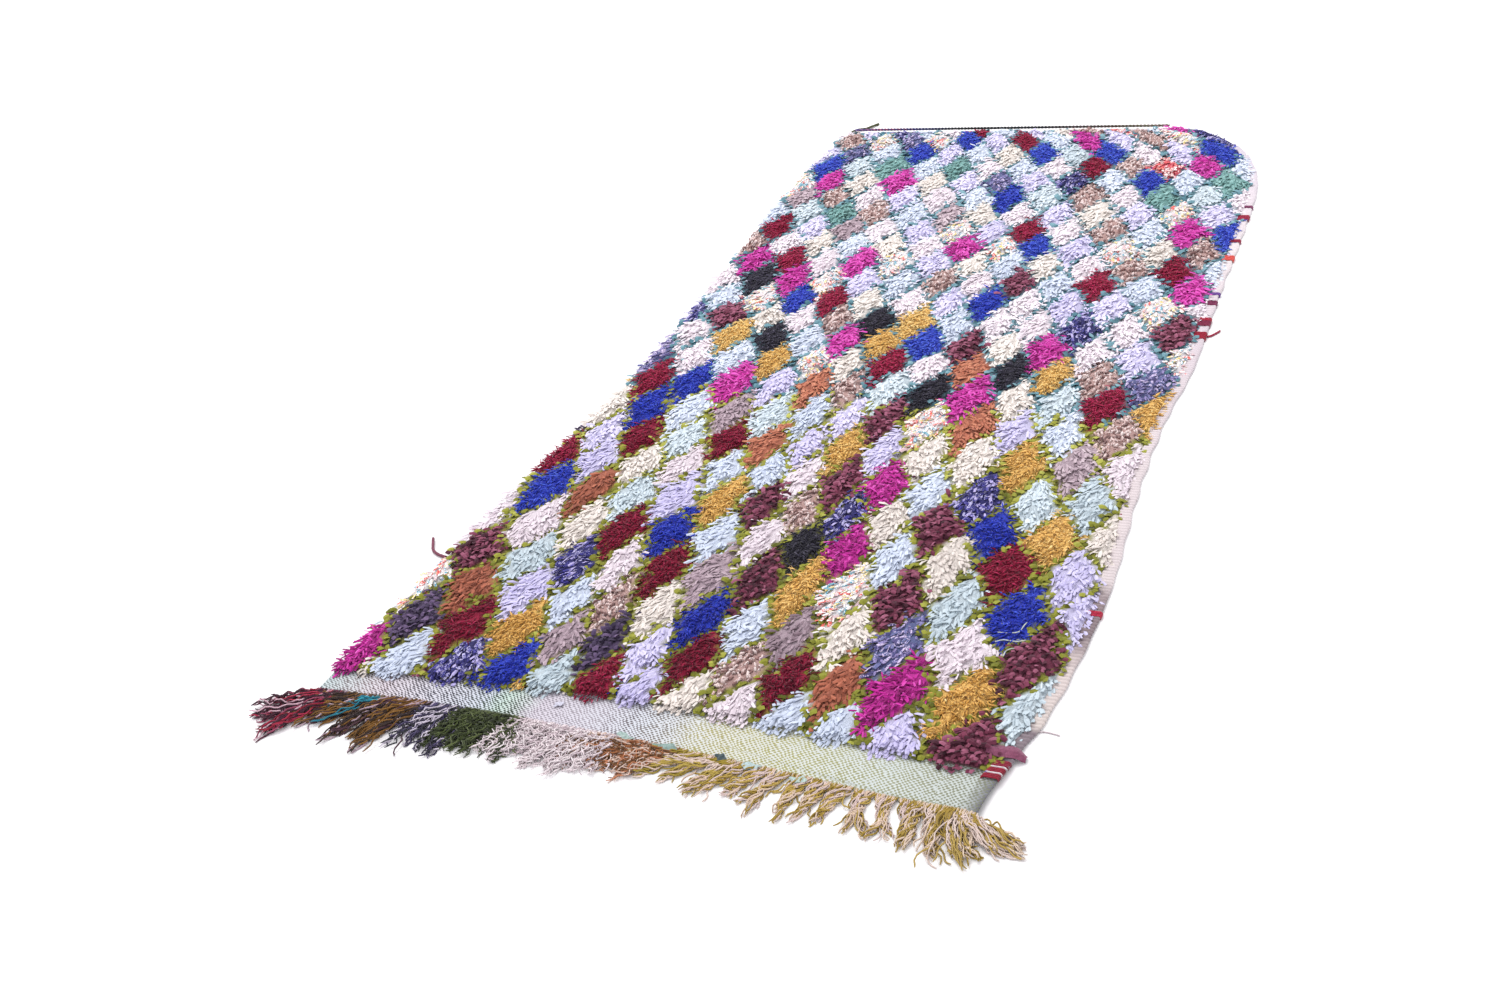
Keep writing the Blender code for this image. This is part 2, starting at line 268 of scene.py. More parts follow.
def moved(form: bmesh.types.BMesh, x: Array, y: Array, z: Array) -> None:
    """Puts the points of a form at new places."""
    for vert, place in zip(form.verts, zip(x, y, z)):
        vert.co = place


@dataclass(frozen=True)
class StrandForm:
    """A closed strand along +Z, one ring of points for each unit, ready to be repeated."""

    section: Array
    ring: Array
    faces: list[tuple[int, ...]]

    @classmethod
    def grown(
        cls, sides: int, rings: int, pointed_root: bool = True, pointed_tip: bool = False
    ) -> "StrandForm":
        """Grows a strand from a short cone by extruding its end.

        Args:
            sides: Sides of its section.
            rings: Rings of points from root to tip.
            pointed_root: Whether the hidden root is drawn to one point.
            pointed_tip: Whether the tip is drawn to one point.

        Returns:
            The strand.
        """
        form = unit_prism(sides)
        end = max(form.faces, key=lambda face: face.calc_center_median().z)
        for _ in range(rings - 2):
            end = bmesh.ops.extrude_discrete_faces(form, faces=[end])["faces"][0]
            bmesh.ops.translate(form, vec=(0.0, 0.0, 1.0), verts=end.verts[:])
        if pointed_root:
            root = [vert for vert in form.verts if vert.co.z < 0.5]
            bmesh.ops.pointmerge(form, verts=root, merge_co=(0.0, 0.0, 0.0))
        if pointed_tip:
            tip = [vert for vert in form.verts if vert.co.z > rings - 1.5]
            bmesh.ops.pointmerge(form, verts=tip, merge_co=(0.0, 0.0, rings - 1.0))
        bmesh.ops.recalc_face_normals(form, faces=form.faces[:])
        form.verts.index_update()
        places = points_of(form)
        faces = [tuple(vert.index for vert in face.verts) for face in form.faces]
        form.free()
        return cls(places[:, :2], np.round(places[:, 2]).astype(int), faces)


@dataclass
class Strands:
    """Centre lines, frames and sizes of many strands: one row each, one column for each ring.

    Their points are held between the lowest and the highest height.
    """

    centre: Array
    side: Array
    normal: Array
    half_width: Array
    half_thick: Array
    tone: Array
    lowest: float = UNDERSIDE
    highest: float = 0.0340

    def shaped(self, form: StrandForm) -> Array:
        """Returns the points of every strand, shaped from one form."""
        across = form.section[None, :, :1] * self.half_width[:, form.ring, None]
        out = form.section[None, :, 1:] * self.half_thick[:, form.ring, None]
        centre = self.centre[:, form.ring]
        points = centre + self.side[:, form.ring] * across + self.normal[:, form.ring] * out
        points[..., 2] = np.clip(points[..., 2], self.lowest, self.highest)
        return points


def frames_along(centre: Array) -> tuple[Array, Array]:
    """Finds level sides and their normals along centre lines.

    Args:
        centre: Points of the lines: strand, ring, axis.

    Returns:
        The side vectors and the normal vectors, in the same layout.
    """
    along = np.gradient(centre, axis=1)
    along /= np.linalg.norm(along, axis=2, keepdims=True) + 1e-12
    side = np.stack([-along[..., 1], along[..., 0], np.zeros(along.shape[:2])], axis=2)
    flat = np.linalg.norm(side, axis=2, keepdims=True)
    side = np.where(flat > 1e-4, side / (flat + 1e-12), np.array([1.0, 0.0, 0.0]))
    return side, np.cross(along, side)


def repeated(
    name: str, form: StrandForm, strands: Strands, smooth: bool = True
) -> bpy.types.Object:
    """Joins many strands as one mesh, with their tone and their reach from the root.

    Args:
        name: Name of the new piece.
        form: The strand that is repeated.
        strands: Where and how big each one is.
        smooth: Whether their faces are shaded smooth.

    Returns:
        The piece, linked to the scene.
    """
    points = strands.shaped(form)
    count, size = points.shape[:2]
    pattern = np.concatenate([np.array(face) for face in form.faces])
    starts = np.concatenate([[0], np.cumsum([len(face) for face in form.faces])[:-1]])
    shifts = np.arange(count)[:, None]
    mesh = bpy.data.meshes.new(name)
    mesh.vertices.add(count * size)
    mesh.vertices.foreach_set("co", points.astype(np.float32).ravel())
    mesh.loops.add(count * len(pattern))
    mesh.loops.foreach_set("vertex_index", (pattern + shifts * size).astype(np.int32).ravel())
    mesh.polygons.add(count * len(form.faces))
    mesh.polygons.foreach_set("loop_start", (starts + shifts * len(pattern)).astype(np.int32).ravel())
    mesh.polygons.foreach_set("use_smooth", np.full(count * len(form.faces), smooth))
    mesh.update(calc_edges=True)
    reach = np.tile(form.ring / form.ring.max(), count)
    store(mesh, "tone", np.repeat(strands.tone, size))
    store(mesh, "reach", reach)
    return placed(name, mesh)


def store(mesh: bpy.types.Mesh, name: str, values: Array) -> None:
    """Keeps one number for each point of a mesh, for its material to read."""
    layer = mesh.attributes.new(name, "FLOAT", "POINT")
    layer.data.foreach_set("value", np.asarray(values, dtype=np.float32).ravel())


def placed(name: str, data: bpy.types.ID) -> bpy.types.Object:
    """Links new data to the scene as an object at the origin."""
    piece = bpy.data.objects.new(name, data)
    bpy.context.scene.collection.objects.link(piece)
    return piece


# ---- Shader tools -------------------------------------------------------------------------
class Number:
    """A number that varies over a surface; arithmetic on it adds Math nodes."""

    def __init__(self, graph: "Graph", socket: bpy.types.NodeSocket) -> None:
        """Keeps the socket and the graph that it belongs to."""
        self.graph = graph
        self.socket = socket

    def _math(self, operation: str, first: object, second: object) -> "Number":
        """Adds a Math node on two values."""
        node = self.graph.node("ShaderNodeMath", {"operation": operation}, {0: first, 1: second})
        return Number(self.graph, node.outputs[0])

    def __add__(self, other: object) -> "Number":
        """This plus another."""
        return self._math("ADD", self, other)

    __radd__ = __add__

    def __sub__(self, other: object) -> "Number":
        """This less another."""
        return self._math("SUBTRACT", self, other)

    def __rsub__(self, other: object) -> "Number":
        """Another less this."""
        return self._math("SUBTRACT", other, self)

    def __mul__(self, other: object) -> "Number":
        """This times another."""
        return self._math("MULTIPLY", self, other)

    __rmul__ = __mul__

    def sine(self) -> "Number":
        """Sine of this, in radians."""
        return self._math("SINE", self, 0.0)

    def stepped(self, low: float, high: float) -> "Number":
        """A smooth step from 0 at low to 1 at high."""
        node = self.graph.node(
            "ShaderNodeMapRange",
            {"interpolation_type": "SMOOTHSTEP"},
            {"Value": self, "From Min": low, "From Max": high, "To Min": 0.0, "To Max": 1.0},
        )
        return Number(self.graph, node.outputs[0])


class Graph:
    """One material's nodes, ending in its Principled shader."""

    def __init__(self, name: str, roughness: float = 0.88, sheen: float = 0.2) -> None:
        """Starts a cloth material with its constant values."""
        self.material = bpy.data.materials.new(name)
        self.material.use_nodes = True
        self.tree = self.material.node_tree
        self.shader = self.tree.nodes["Principled BSDF"]
        self.shader.inputs["Roughness"].default_value = roughness
        self.shader.inputs["Specular IOR Level"].default_value = 0.25
        self.shader.inputs["Sheen Weight"].default_value = sheen
        self.shader.inputs["Sheen Roughness"].default_value = 0.5

    def node(self, kind: str, settings: dict[str, object], inputs: dict[object, object]) -> bpy.types.Node:
        """Adds one node.

        Args:
            kind: The node's type.
            settings: What is set on the node itself, first.
            inputs: Values or links of its sockets, by name or number.

        Returns:
            The node.
        """
        node = self.tree.nodes.new(kind)
        for key, value in settings.items():
            setattr(node, key, value)
        for key, value in inputs.items():
            self.feed(node.inputs[key], value)
        return node

    def feed(self, socket: bpy.types.NodeSocket, value: object) -> None:
        """Links a value that varies to a socket, or sets a constant on it."""
        if isinstance(value, Number):
            value = value.socket
        if isinstance(value, bpy.types.NodeSocket):
            self.tree.links.new(value, socket)
        else:
            socket.default_value = value

    def attribute(self, name: str) -> Number:
        """Reads a number kept on the mesh."""
        node = self.node("ShaderNodeAttribute", {"attribute_name": name}, {})
        return Number(self, node.outputs["Fac"])

    def place(self) -> bpy.types.NodeSocket:
        """Place on the object, in metres."""
        return self.node("ShaderNodeTexCoord", {}, {}).outputs["Object"]

    def axes(self, place: bpy.types.NodeSocket) -> tuple[Number, Number, Number]:
        """Splits a place into its three numbers."""
        node = self.node("ShaderNodeSeparateXYZ", {}, {0: place})
        return tuple(Number(self, node.outputs[axis]) for axis in range(3))

    def noise(self, place: bpy.types.NodeSocket, scale: float, detail: float = 2.0) -> Number:
        """Soft noise between about 0.2 and 0.8."""
        inputs = {"Vector": place, "Scale": scale, "Detail": detail, "Roughness": 0.6}
        return Number(self, self.node("ShaderNodeTexNoise", {}, inputs).outputs[0])

    def ramp(self, at: Number, stops: Sequence[Stop], hard: bool = False) -> bpy.types.NodeSocket:
        """Picks a colour by a number.

        Args:
            at: The number, from 0 to 1.
            stops: Place and colour of each stop, rising.
            hard: Whether colours change at once, as on a print.

        Returns:
            The colour's socket.
        """
        node = self.node("ShaderNodeValToRGB", {}, {0: at})
        node.color_ramp.interpolation = "CONSTANT" if hard else "LINEAR"
        elements = node.color_ramp.elements
        while len(elements) < len(stops):
            elements.new(1.0)
        for element, (position, colour) in zip(elements, stops):
            element.position = position
            element.color = linear(colour)
        return node.outputs[0]

    def mixed(self, share: object, first: object, second: object) -> bpy.types.NodeSocket:
        """Mixes two colours, taking the given share of the second."""
        node = self.node("ShaderNodeMix", {"data_type": "RGBA"}, {0: share, 6: first, 7: second})
        return node.outputs[2]

    def scaled(self, colour: bpy.types.NodeSocket, share: Number) -> bpy.types.NodeSocket:
        """Darkens or lightens a colour by a factor."""
        node = self.node("ShaderNodeVectorMath", {"operation": "SCALE"}, {0: colour, 3: share})
        return node.outputs[0]

    def finished(
        self, colour: bpy.types.NodeSocket, height: Number, depth: float, strength: float = 0.6
    ) -> bpy.types.Material:
        """Feeds the shader its colour and its bump.

        Args:
            colour: The surface colour.
            height: Relief, from 0 to 1.
            depth: How deep the relief is, in metres.
            strength: How strongly it shades.

        Returns:
            The material.
        """
        bump = self.node(
            "ShaderNodeBump", {}, {"Strength": strength, "Distance": depth, "Height": height}
        )
        self.feed(self.shader.inputs["Base Color"], colour)
        self.feed(self.shader.inputs["Normal"], bump.outputs[0])
        return self.material


# ---- Pile fabrics -------------------------------------------------------------------------
@dataclass(frozen=True)
class StrandCut:
    """How a rag or yarn is cut for the pile, in metres, and how many stand in each knot.

    Its lean is in degrees from upright, at its root and at its tip.
    """

    half_width: float
    half_thick: float
    length: float
    copies: float
    rings: int
    spread: float
    lean_from: float = 46.0
    lean_to: float = 96.0
    pointed: bool = False
    faceted: bool = False
    heading_spread: float = 0.45
    tone_spread: float = 0.10


class Cut(Enum):
    """The kinds of strand in the pile."""

    YARN = StrandCut(
        0.0021, 0.0010, 0.0230, 3.1, 3, 0.0048, 58.0, 94.0, pointed=True, heading_spread=0.9,
        tone_spread=0.14,
    )
    STRIP = StrandCut(
        0.0026, 0.0009, 0.0225, 2.4, 3, 0.0048, 54.0, 96.0, faceted=True, heading_spread=0.9,
        tone_spread=0.20,
    )
    JERSEY = StrandCut(0.0034, 0.0008, 0.0212, 1.56, 3, 0.0042, 60.0, 98.0, faceted=True)
    RAG = StrandCut(
        0.0044, 0.0008, 0.0190, 1.05, 4, 0.0044, 20.0, 104.0, faceted=True, heading_spread=0.9,
        tone_spread=0.26,
    )
    CURL = StrandCut(0.0034, 0.0024, 0.0165, 1.05, 4, 0.0034, 5.0, 150.0, heading_spread=0.9)
    LINE_RAG = StrandCut(0.0068, 0.0012, 0.0180, 0.62, 4, 0.0034, 24.0, 108.0, faceted=True)


@dataclass(frozen=True)
class PileFinish:
    """One fabric of the pile: how it is cut, and its colours from dark to light."""

    name: str
    cut: Cut
    shades: tuple[Stop, ...]
    print_hard: bool = False
    mottle: float = 0.26
    # share of the colour kept at the roots: painted shade
    painted_root_shade: float = 0.87
    fibre: float = 700.0
    sheen: float = 0.10

    @property
    def nap(self) -> Colour:
        """The fabric's middle colour."""
        return self.shades[len(self.shades) // 2][1]

    def material(self) -> bpy.types.Material:
        """Makes the fabric's material.

        Returns:
            A material that is darker at the roots as painted shade, with fibres and small changes of tone.
        """
        graph = Graph(self.name, sheen=self.sheen)
        place = graph.place()
        fibres = graph.noise(place, self.fibre, 3.0)
        patches = graph.noise(place, 120.0)
        tone = graph.attribute("tone") + (fibres - 0.5) * self.mottle + (patches - 0.5) * 0.2
        colour = graph.ramp(tone, self.shades, self.print_hard)
        reach = graph.attribute("reach").stepped(0.0, 0.75)
        # painted shade: the colour darkens towards each strand's root
        colour = graph.scaled(colour, reach * (1.0 - self.painted_root_shade) + self.painted_root_shade)
        return graph.finished(colour, fibres, 0.0012)


def shaded(dark: Colour, middle: Colour, light: Colour) -> tuple[Stop, ...]:
    """Three even stops from a fabric's dark colour to its light one: random tones pick among them, and the
    pile's painted shade and painted light shift the pick.
    """
    return (0.15, dark), (0.5, middle), (0.85, light)


def pale_jersey(name: str, dark: Colour, middle: Colour, light: Colour) -> PileFinish:
    """A pale jersey, more even than the other fabrics and with less painted shade at its roots."""
    return PileFinish(name, Cut.JERSEY, shaded(dark, middle, light), mottle=0.14, painted_root_shade=0.94)


def printed(*colours: Colour) -> tuple[Stop, ...]:
    """Even hard stops, one for each colour of a print."""
    return tuple((number / len(colours), colour) for number, colour in enumerate(colours))


FABRICS: dict[str, PileFinish] = {
    "B": PileFinish("pile_cobalt", Cut.YARN, shaded((18, 32, 148), (40, 62, 196), (84, 112, 228))),
    "R": PileFinish("pile_crimson", Cut.YARN, shaded((92, 0, 32), (146, 8, 54), (184, 40, 88))),
    "O": PileFinish("pile_ochre", Cut.YARN, shaded((198, 146, 64), (240, 192, 106), (252, 222, 148))),
    "K": PileFinish("pile_charcoal", Cut.YARN, shaded((22, 20, 30), (42, 40, 54), (76, 72, 90))),
    "M": PileFinish("pile_magenta", Cut.STRIP, shaded((132, 10, 98), (194, 38, 152), (222, 92, 190))),
    "S": PileFinish("pile_rust", Cut.JERSEY, shaded((112, 56, 38), (170, 98, 74), (204, 136, 106))),
    "Y": pale_jersey("pile_ivory", (203, 194, 187), (226, 218, 210), (235, 230, 225)),
    "W": pale_jersey("pile_white", (206, 194, 202), (229, 218, 225), (237, 231, 237)),
    "I": pale_jersey("pile_ice", (178, 188, 206), (203, 213, 230), (223, 231, 242)),
    "T": pale_jersey("pile_mint", (174, 190, 198), (196, 210, 217), (219, 230, 237)),
    "L": pale_jersey("pile_lilac", (182, 176, 214), (207, 202, 234), (227, 223, 245)),
    "P": PileFinish("pile_plum", Cut.RAG, shaded((58, 18, 34), (114, 48, 72), (150, 86, 110))),
    "A": PileFinish("pile_aubergine", Cut.RAG, shaded((46, 36, 60), (80, 64, 96), (110, 90, 124))),
    "U": PileFinish("pile_taupe", Cut.JERSEY, shaded((124, 104, 114), (174, 154, 164), (204, 188, 194))),
    "N": PileFinish(
        "pile_navy_print", Cut.JERSEY,
        printed((30, 28, 86), (48, 46, 122), (188, 184, 222), (36, 34, 98), (66, 62, 146), (176, 168, 214)),
        print_hard=True, mottle=0.9, fibre=420.0,
    ),
    "D": PileFinish(
        "pile_brown_print", Cut.CURL,
        printed((148, 114, 110), (236, 218, 214), (190, 156, 150), (244, 230, 226), (122, 92, 90)),
        print_hard=True, mottle=0.9, fibre=520.0,
    ),
    "V": PileFinish(
        "pile_pastel_print", Cut.JERSEY,
        printed(
            (240, 234, 232), (216, 92, 84), (244, 238, 236), (222, 202, 120), (236, 232, 234),
            (92, 160, 180), (244, 238, 236), (206, 180, 184),
        ),
        print_hard=True, mottle=0.55, fibre=260.0,
    ),
    "G": PileFinish(
        "pile_slate_print", Cut.JERSEY,
        printed((64, 64, 112), (142, 132, 180), (92, 100, 146), (204, 190, 222), (84, 78, 124)),
        print_hard=True, mottle=0.8, fibre=380.0,
    ),
    "E": PileFinish("pile_sea_green", Cut.JERSEY, shaded((68, 110, 106), (104, 150, 146), (142, 184, 180))),
    "C": PileFinish(
        "pile_coral_print", Cut.JERSEY,
        printed((214, 92, 96), (242, 222, 218), (204, 70, 86), (246, 236, 234), (226, 128, 118)),
        print_hard=True, mottle=0.7, fibre=340.0,
    ),
    "olive": PileFinish(
        "line_olive", Cut.LINE_RAG, shaded((80, 84, 14), (142, 144, 50), (184, 186, 90))
    ),
    "teal": PileFinish(
        "line_teal", Cut.LINE_RAG, shaded((40, 76, 90), (78, 122, 134), (124, 164, 174))
    ),
}
FABRIC_KEYS = tuple(FABRICS)


@dataclass(frozen=True)
class LozengeChart:
    """Small charts of lozenge colours: a repeat near the fringe, another past the change of
    lattice, and beyond that a mixed bag."""

    near_rows: tuple[str, ...] = (
        "MINBTRLYWIILP",
        "AROUALRDRSMOT",
        "VSLIDYBIUYGWP",
        "PTNWRUPOVPTBL",
        "WWYRBIWKMIYRL",
        "BSTLOPDNYPBOY",
    )
    far_rows: tuple[str, ...] = (
        "RBMLSDTKMYTRO",
        "GWIOVYRWSKODG",
        "WOKIMOBPYMWLV",
        "NPYWDKOIWWNWP",
        "IVBRYWLBWLLVW",
        "WKMVLIDWPIRIM",
    )
    change_row: int = 9
    shift: int = 5
    far_bag: str = "WWWWWWWWIIIIIIIIIYYYLLLLLLLLLTVVVBBBMMRRPDDNNGUEC"
    pale_bag: str = "WILYT"
    near_pale_share: float = 0.24
    row_margin: int = 3
    rows: int = 32
    columns: int = 20

    def table(self) -> Array:
        """Fills the whole net from the two charts.

        Returns:
            The fabric's number in FABRIC_KEYS for each row and column, with a margin of spare
            rows and columns before the first ones.
        """
        dice = np.random.default_rng(SEED)
        table = np.zeros((self.rows, self.columns), dtype=int)
        for row in range(-self.row_margin, self.rows - self.row_margin):
            is_far = row >= self.change_row
            chart = self.far_rows if is_far else self.near_rows
            turn, line = divmod(row - (self.change_row if is_far else 0), len(chart))
            for column in range(-self.row_margin, self.columns - self.row_margin):
                letters = chart[line]
                letter = letters[(column + turn * self.shift) % len(letters)]
                if is_far and turn > 0:
                    letter = self.drawn(dice, table, row + self.row_margin, column + self.row_margin)
                elif turn > 0 and dice.random() < self.near_pale_share:
                    letter = self.pale_bag[dice.integers(len(self.pale_bag))]
                table[row + self.row_margin, column + self.row_margin] = FABRIC_KEYS.index(letter)
        return table

    def drawn(self, dice: np.random.Generator, table: Array, row: int, column: int) -> str:
        """Draws a letter from the mixed bag that differs from the neighbours drawn before it."""
        beside = {table[row, column - 1], table[row - 1, column], table[row - 2, column]}
        beside.add(table[row - 1, column - 1 if row % 2 else (column + 1) % self.columns])
        letter = self.far_bag[dice.integers(len(self.far_bag))]
        while FABRIC_KEYS.index(letter) in beside:
            letter = self.far_bag[dice.integers(len(self.far_bag))]
        return letter

    def fabric(self, row: Array, column: Array) -> Array:
        """Reads the fabric numbers of lozenges."""
        rows = np.clip(row + self.row_margin, 0, self.rows - 1)
        columns = np.clip(column + self.row_margin, 0, self.columns - 1)
        return self.table()[rows, columns]


# ---- Pile ---------------------------------------------------------------------------------
@dataclass
class Pile:
    """Rows of knots over the cloth, each a few strands of the fabric that its lozenge has.

    Distances are in metres and turns in radians. Spreads are the least and the most of a share.
    The hem is the first rows, whose strands lie over the band. near_painted_shade is painted shade
    that darkens the near tones, and far_painted_light painted light that lightens them towards the far end.
    """

    shape: ClothShape
    lattice: Lattice
    chart: LozengeChart
    row_pitch: float = 0.0094
    knot_pitch: float = 0.0078
    first_row: float = 0.040
    widest: tuple[float, float] = (-0.68, 0.74)
    jitter: float = 0.0013
    change_place: float = 1.145
    line_jitter: float = 0.026
    line_swell: float = 0.75
    far_stretch: float = 0.14
    foot: float = 0.0045
    root_low: float = 0.0042
    root_rise: float = 0.0075
    band_overhang: float = 0.012
    hem_reach: float = 0.026
    hem_rows: float = 0.68
    hem_end: float = 0.118
    near_painted_shade: float = 0.14
    far_painted_light: float = 0.28
    puff_reach: float = 0.30
    edge_roll: float = 0.026
    edge_reach: float = 0.035
    right_bare: float = 0.050
    main_heading: float = -math.pi / 2 - 0.10
    hem_heading: float = math.pi / 2 + 0.15
    hem_turn: float = 0.75
    hem_short: float = 0.38
    heading_wave: Wave = (0.50, 0.040, 0.7)
    tone_wave: Wave = (0.06, 0.027, 1.9)
    lean_jitter: float = 0.18
    length_spread: tuple[float, float] = (0.65, 1.30)
    droop_spread: tuple[float, float] = (0.80, 1.20)
    size_spread: tuple[float, float] = (0.75, 1.25)
    root_spread: tuple[float, float] = (-0.0006, 0.0018)
    lowest: float = 0.0025
    roll: float = 0.30
    broad_share: float = 0.07
    broad_by: float = 1.5

    def stretch(self, y: Array | float) -> Array:
        """How much coarser the pile is towards the far end."""
        return 1.0 + self.far_stretch * ease((y - 1.1) / 1.0)

    def starts(self, x: Array, y: Array, inside: Array) -> Array:
        """Distance from the fringed end where the pile starts: a scallop for each lozenge."""
        share = self.shape.across(x, y)
        scallop = self.band_overhang * ease(1.0 - inside / self.puff_reach)
        return self.shape.near(share) + self.shape.band(share) + scallop

    def root_height(self, x: Array, y: Array, inside: Array) -> Array:
        """Height that the strands grow from: puffed up in the middle of each lozenge."""
        shape = self.shape
        share = shape.across(x, y)
        start = shape.near(share) + shape.band(share)
        sides = np.minimum(x - shape.left(y), shape.right(y) - 0.010 - x)
        edge = ease(np.minimum(np.minimum(sides, y - start), shape.length - y) / self.edge_roll)
        puff = self.root_low + self.root_rise * ease(inside / self.puff_reach)
        return self.foot + puff * edge + shape.lift(x, y)

    def places(self, dice: np.random.Generator) -> tuple[Array, Array]:
        """Lays rows of knots over more than the cloth, wider apart towards the far end."""
        rows_x, rows_y = [], []
        y = self.first_row
        while y < self.shape.length + 0.01:
            stretch = float(self.stretch(y))
            pitch = self.knot_pitch * stretch
            row = np.arange(self.widest[0] + (len(rows_x) % 2) * pitch / 2, self.widest[1], pitch)
            rows_x.append(row)
            rows_y.append(np.full(row.size, y))
            y += self.row_pitch * stretch * (self.hem_rows if y < self.hem_end else 1.0)
        x, y = np.concatenate(rows_x), np.concatenate(rows_y)
        x = x + dice.normal(0.0, self.jitter, x.size)
        y = y + dice.normal(0.0, self.jitter, y.size) + 0.004 * ripple(x, y, 0.35, 0.2)
        return x, np.minimum(y, self.shape.length - 0.004)

    def knots(self, dice: np.random.Generator) -> tuple[Array, Array, Array, Array, Array, Array]:
        """Lays out the knots and gives each its fabric.

        Args:
            dice: Source of the unevenness.

        Returns:
            X, y, fabric number, lozenge tone, lozenge lean and inside measure of each knot.
        """
        shape = self.shape
        x, y = self.places(dice)
        row, column, inside = self.lattice.cells(x, y)
        edge = shape.selvedge_width * 0.52 * ease((shape.length - 0.22 - y) / 0.1)
        keep = (y > self.starts(x, y, inside)) & (x > shape.left(y) + 0.003)
        keep &= x < shape.right(y) - edge - 0.002
        x, y, row, column, inside = (values[keep] for values in (x, y, row, column, inside))
        fabric = self.chart.fabric(row, column)
        teal = y > self.change_place + 0.03 * ripple(x, y, 0.4, 0.1)
        half_line = np.where(teal, self.lattice.far_line, self.lattice.near_line)
        half_line = half_line * (1.0 + self.line_swell * ripple(x, y, 0.052, 0.9))
        on_line = inside + dice.normal(0.0, self.line_jitter, x.size) < half_line
        line_fabric = np.where(teal, FABRIC_KEYS.index("teal"), FABRIC_KEYS.index("olive"))
        fabric = np.where(on_line, line_fabric, fabric)
        tone = 0.09 * np.sin(12.9 * row + 78.2 * column)
        turn = 0.45 * np.sin(7.3 * row + 4.1 * column)
        return x, y, fabric, tone, turn, inside

    def strands(self, cut: StrandCut, knots: tuple[Array, ...], dice: np.random.Generator) -> Strands:
        """Grows the strands of one fabric from its knots.

        Args:
            cut: How the fabric is cut.
            knots: X, y, tone, turn and inside measure of its knots.
            dice: Source of the unevenness.

        Returns:
            The strands.
        """
        whole, part = divmod(cut.copies, 1.0)
        copies = int(whole) + (dice.random(knots[0].size) < part)
        x, y, tone, turn, inside = (np.repeat(values, copies) for values in knots)
        count = x.size
        x = x + dice.normal(0.0, cut.spread * 0.6, count)
        y = y + dice.normal(0.0, cut.spread * 0.6, count)
        shape = self.shape
        out_left = ease(1.0 - (x - shape.left(y)) / self.edge_reach)
        out_right = ease((x - shape.right(y) + self.right_bare) / self.edge_reach)
        heading = self.main_heading + dice.normal(0.0, cut.heading_spread, count)
        heading = heading - 0.75 * out_left + 0.10 * out_right + turn
        heading = rippled(heading, x, y, [self.heading_wave])
        share = shape.across(x, y)
        hem = ease((y - shape.near(share) - shape.band(share) - self.band_overhang) / self.hem_reach)
        turned = self.hem_turn * (1.0 - hem)
        heading = heading * (1.0 - turned) - turned * self.hem_heading
        length = cut.length * dice.uniform(*self.length_spread, count) * (1.0 - 0.35 * out_right)
        length = length * (1.0 - self.hem_short * (1.0 - hem))
        lean = np.radians(cut.lean_from) + dice.normal(0.0, self.lean_jitter, count)
        droop = math.radians(cut.lean_to - cut.lean_from) * dice.uniform(*self.droop_spread, count)
        steps = np.linspace(0.0, 1.0, cut.rings)
        angle = lean[:, None] + droop[:, None] * steps[None, :]
        rise, out = running(np.cos(angle)), running(np.sin(angle))
        step = (length / (cut.rings - 1))[:, None]
        ahead = np.stack([np.cos(heading), np.sin(heading)], axis=1)
        centre = np.empty((count, cut.rings, 3))
        centre[..., 0] = x[:, None] + ahead[:, :1] * out * step
        centre[..., 1] = y[:, None] - shape.half + ahead[:, 1:] * out * step
        root = self.root_height(x, y, inside) + dice.uniform(*self.root_spread, count)
        centre[..., 2] = np.maximum(root[:, None] + rise * step, self.lowest)
        side, normal = frames_along(centre)
        roll = dice.normal(0.0, self.roll, count)[:, None, None]
        side, normal = (
            side * np.cos(roll) + normal * np.sin(roll),
            normal * np.cos(roll) - side * np.sin(roll),
        )
        widths = np.interp(steps, [0.0, 0.35, 0.8, 1.0], [0.55, 1.0, 1.0, 0.80])
        broad = np.where(dice.random(count) < self.broad_share, self.broad_by, 1.0)
        size = (dice.uniform(*self.size_spread, count) * broad * self.stretch(y))[:, None]
        tone = 0.5 + tone + dice.normal(0.0, cut.tone_spread, count)
        tone = rippled(tone, x, y, [self.tone_wave])
        return Strands(
            centre, side, normal, cut.half_width * size * widths, cut.half_thick * size * widths, tone
        )

    def build(self) -> None:
        """Makes one piece for each fabric."""
        dice = np.random.default_rng(SEED + 1)
        x, y, fabric, tone, turn, inside = self.knots(dice)
        # painted shade darkens the tones near the fringed end, and painted light lightens them towards the
        # far end
        tone = tone - self.near_painted_shade + self.far_painted_light * ease((y - 0.3) / 1.2)
        for number, finish in enumerate(FABRICS.values()):
            chosen = fabric == number
            if not chosen.any():
                continue
            cut = finish.cut.value
            tones = dice.uniform(-0.5, 0.5, x.size) if finish.print_hard else tone
            own = tuple(values[chosen] for values in (x, y, tones, turn, inside))
            form = StrandForm.grown(3, cut.rings, pointed_tip=cut.pointed)
            piece = repeated(finish.name, form, self.strands(cut, own, dice), not cut.faceted)
            piece.data.materials.append(finish.material())
            report(piece)


# ---- Ground, band and edges ---------------------------------------------------------------
def grid_form(columns: int, rows: int) -> bmesh.types.BMesh:
    """Starts a flat grid of unit size, from 0 to 1 both ways."""
    form = bmesh.new()
    bmesh.ops.create_grid(form, x_segments=columns, y_segments=rows, size=0.5)
    bmesh.ops.translate(form, vec=(0.5, 0.5, 0.0), verts=form.verts[:])
    return form


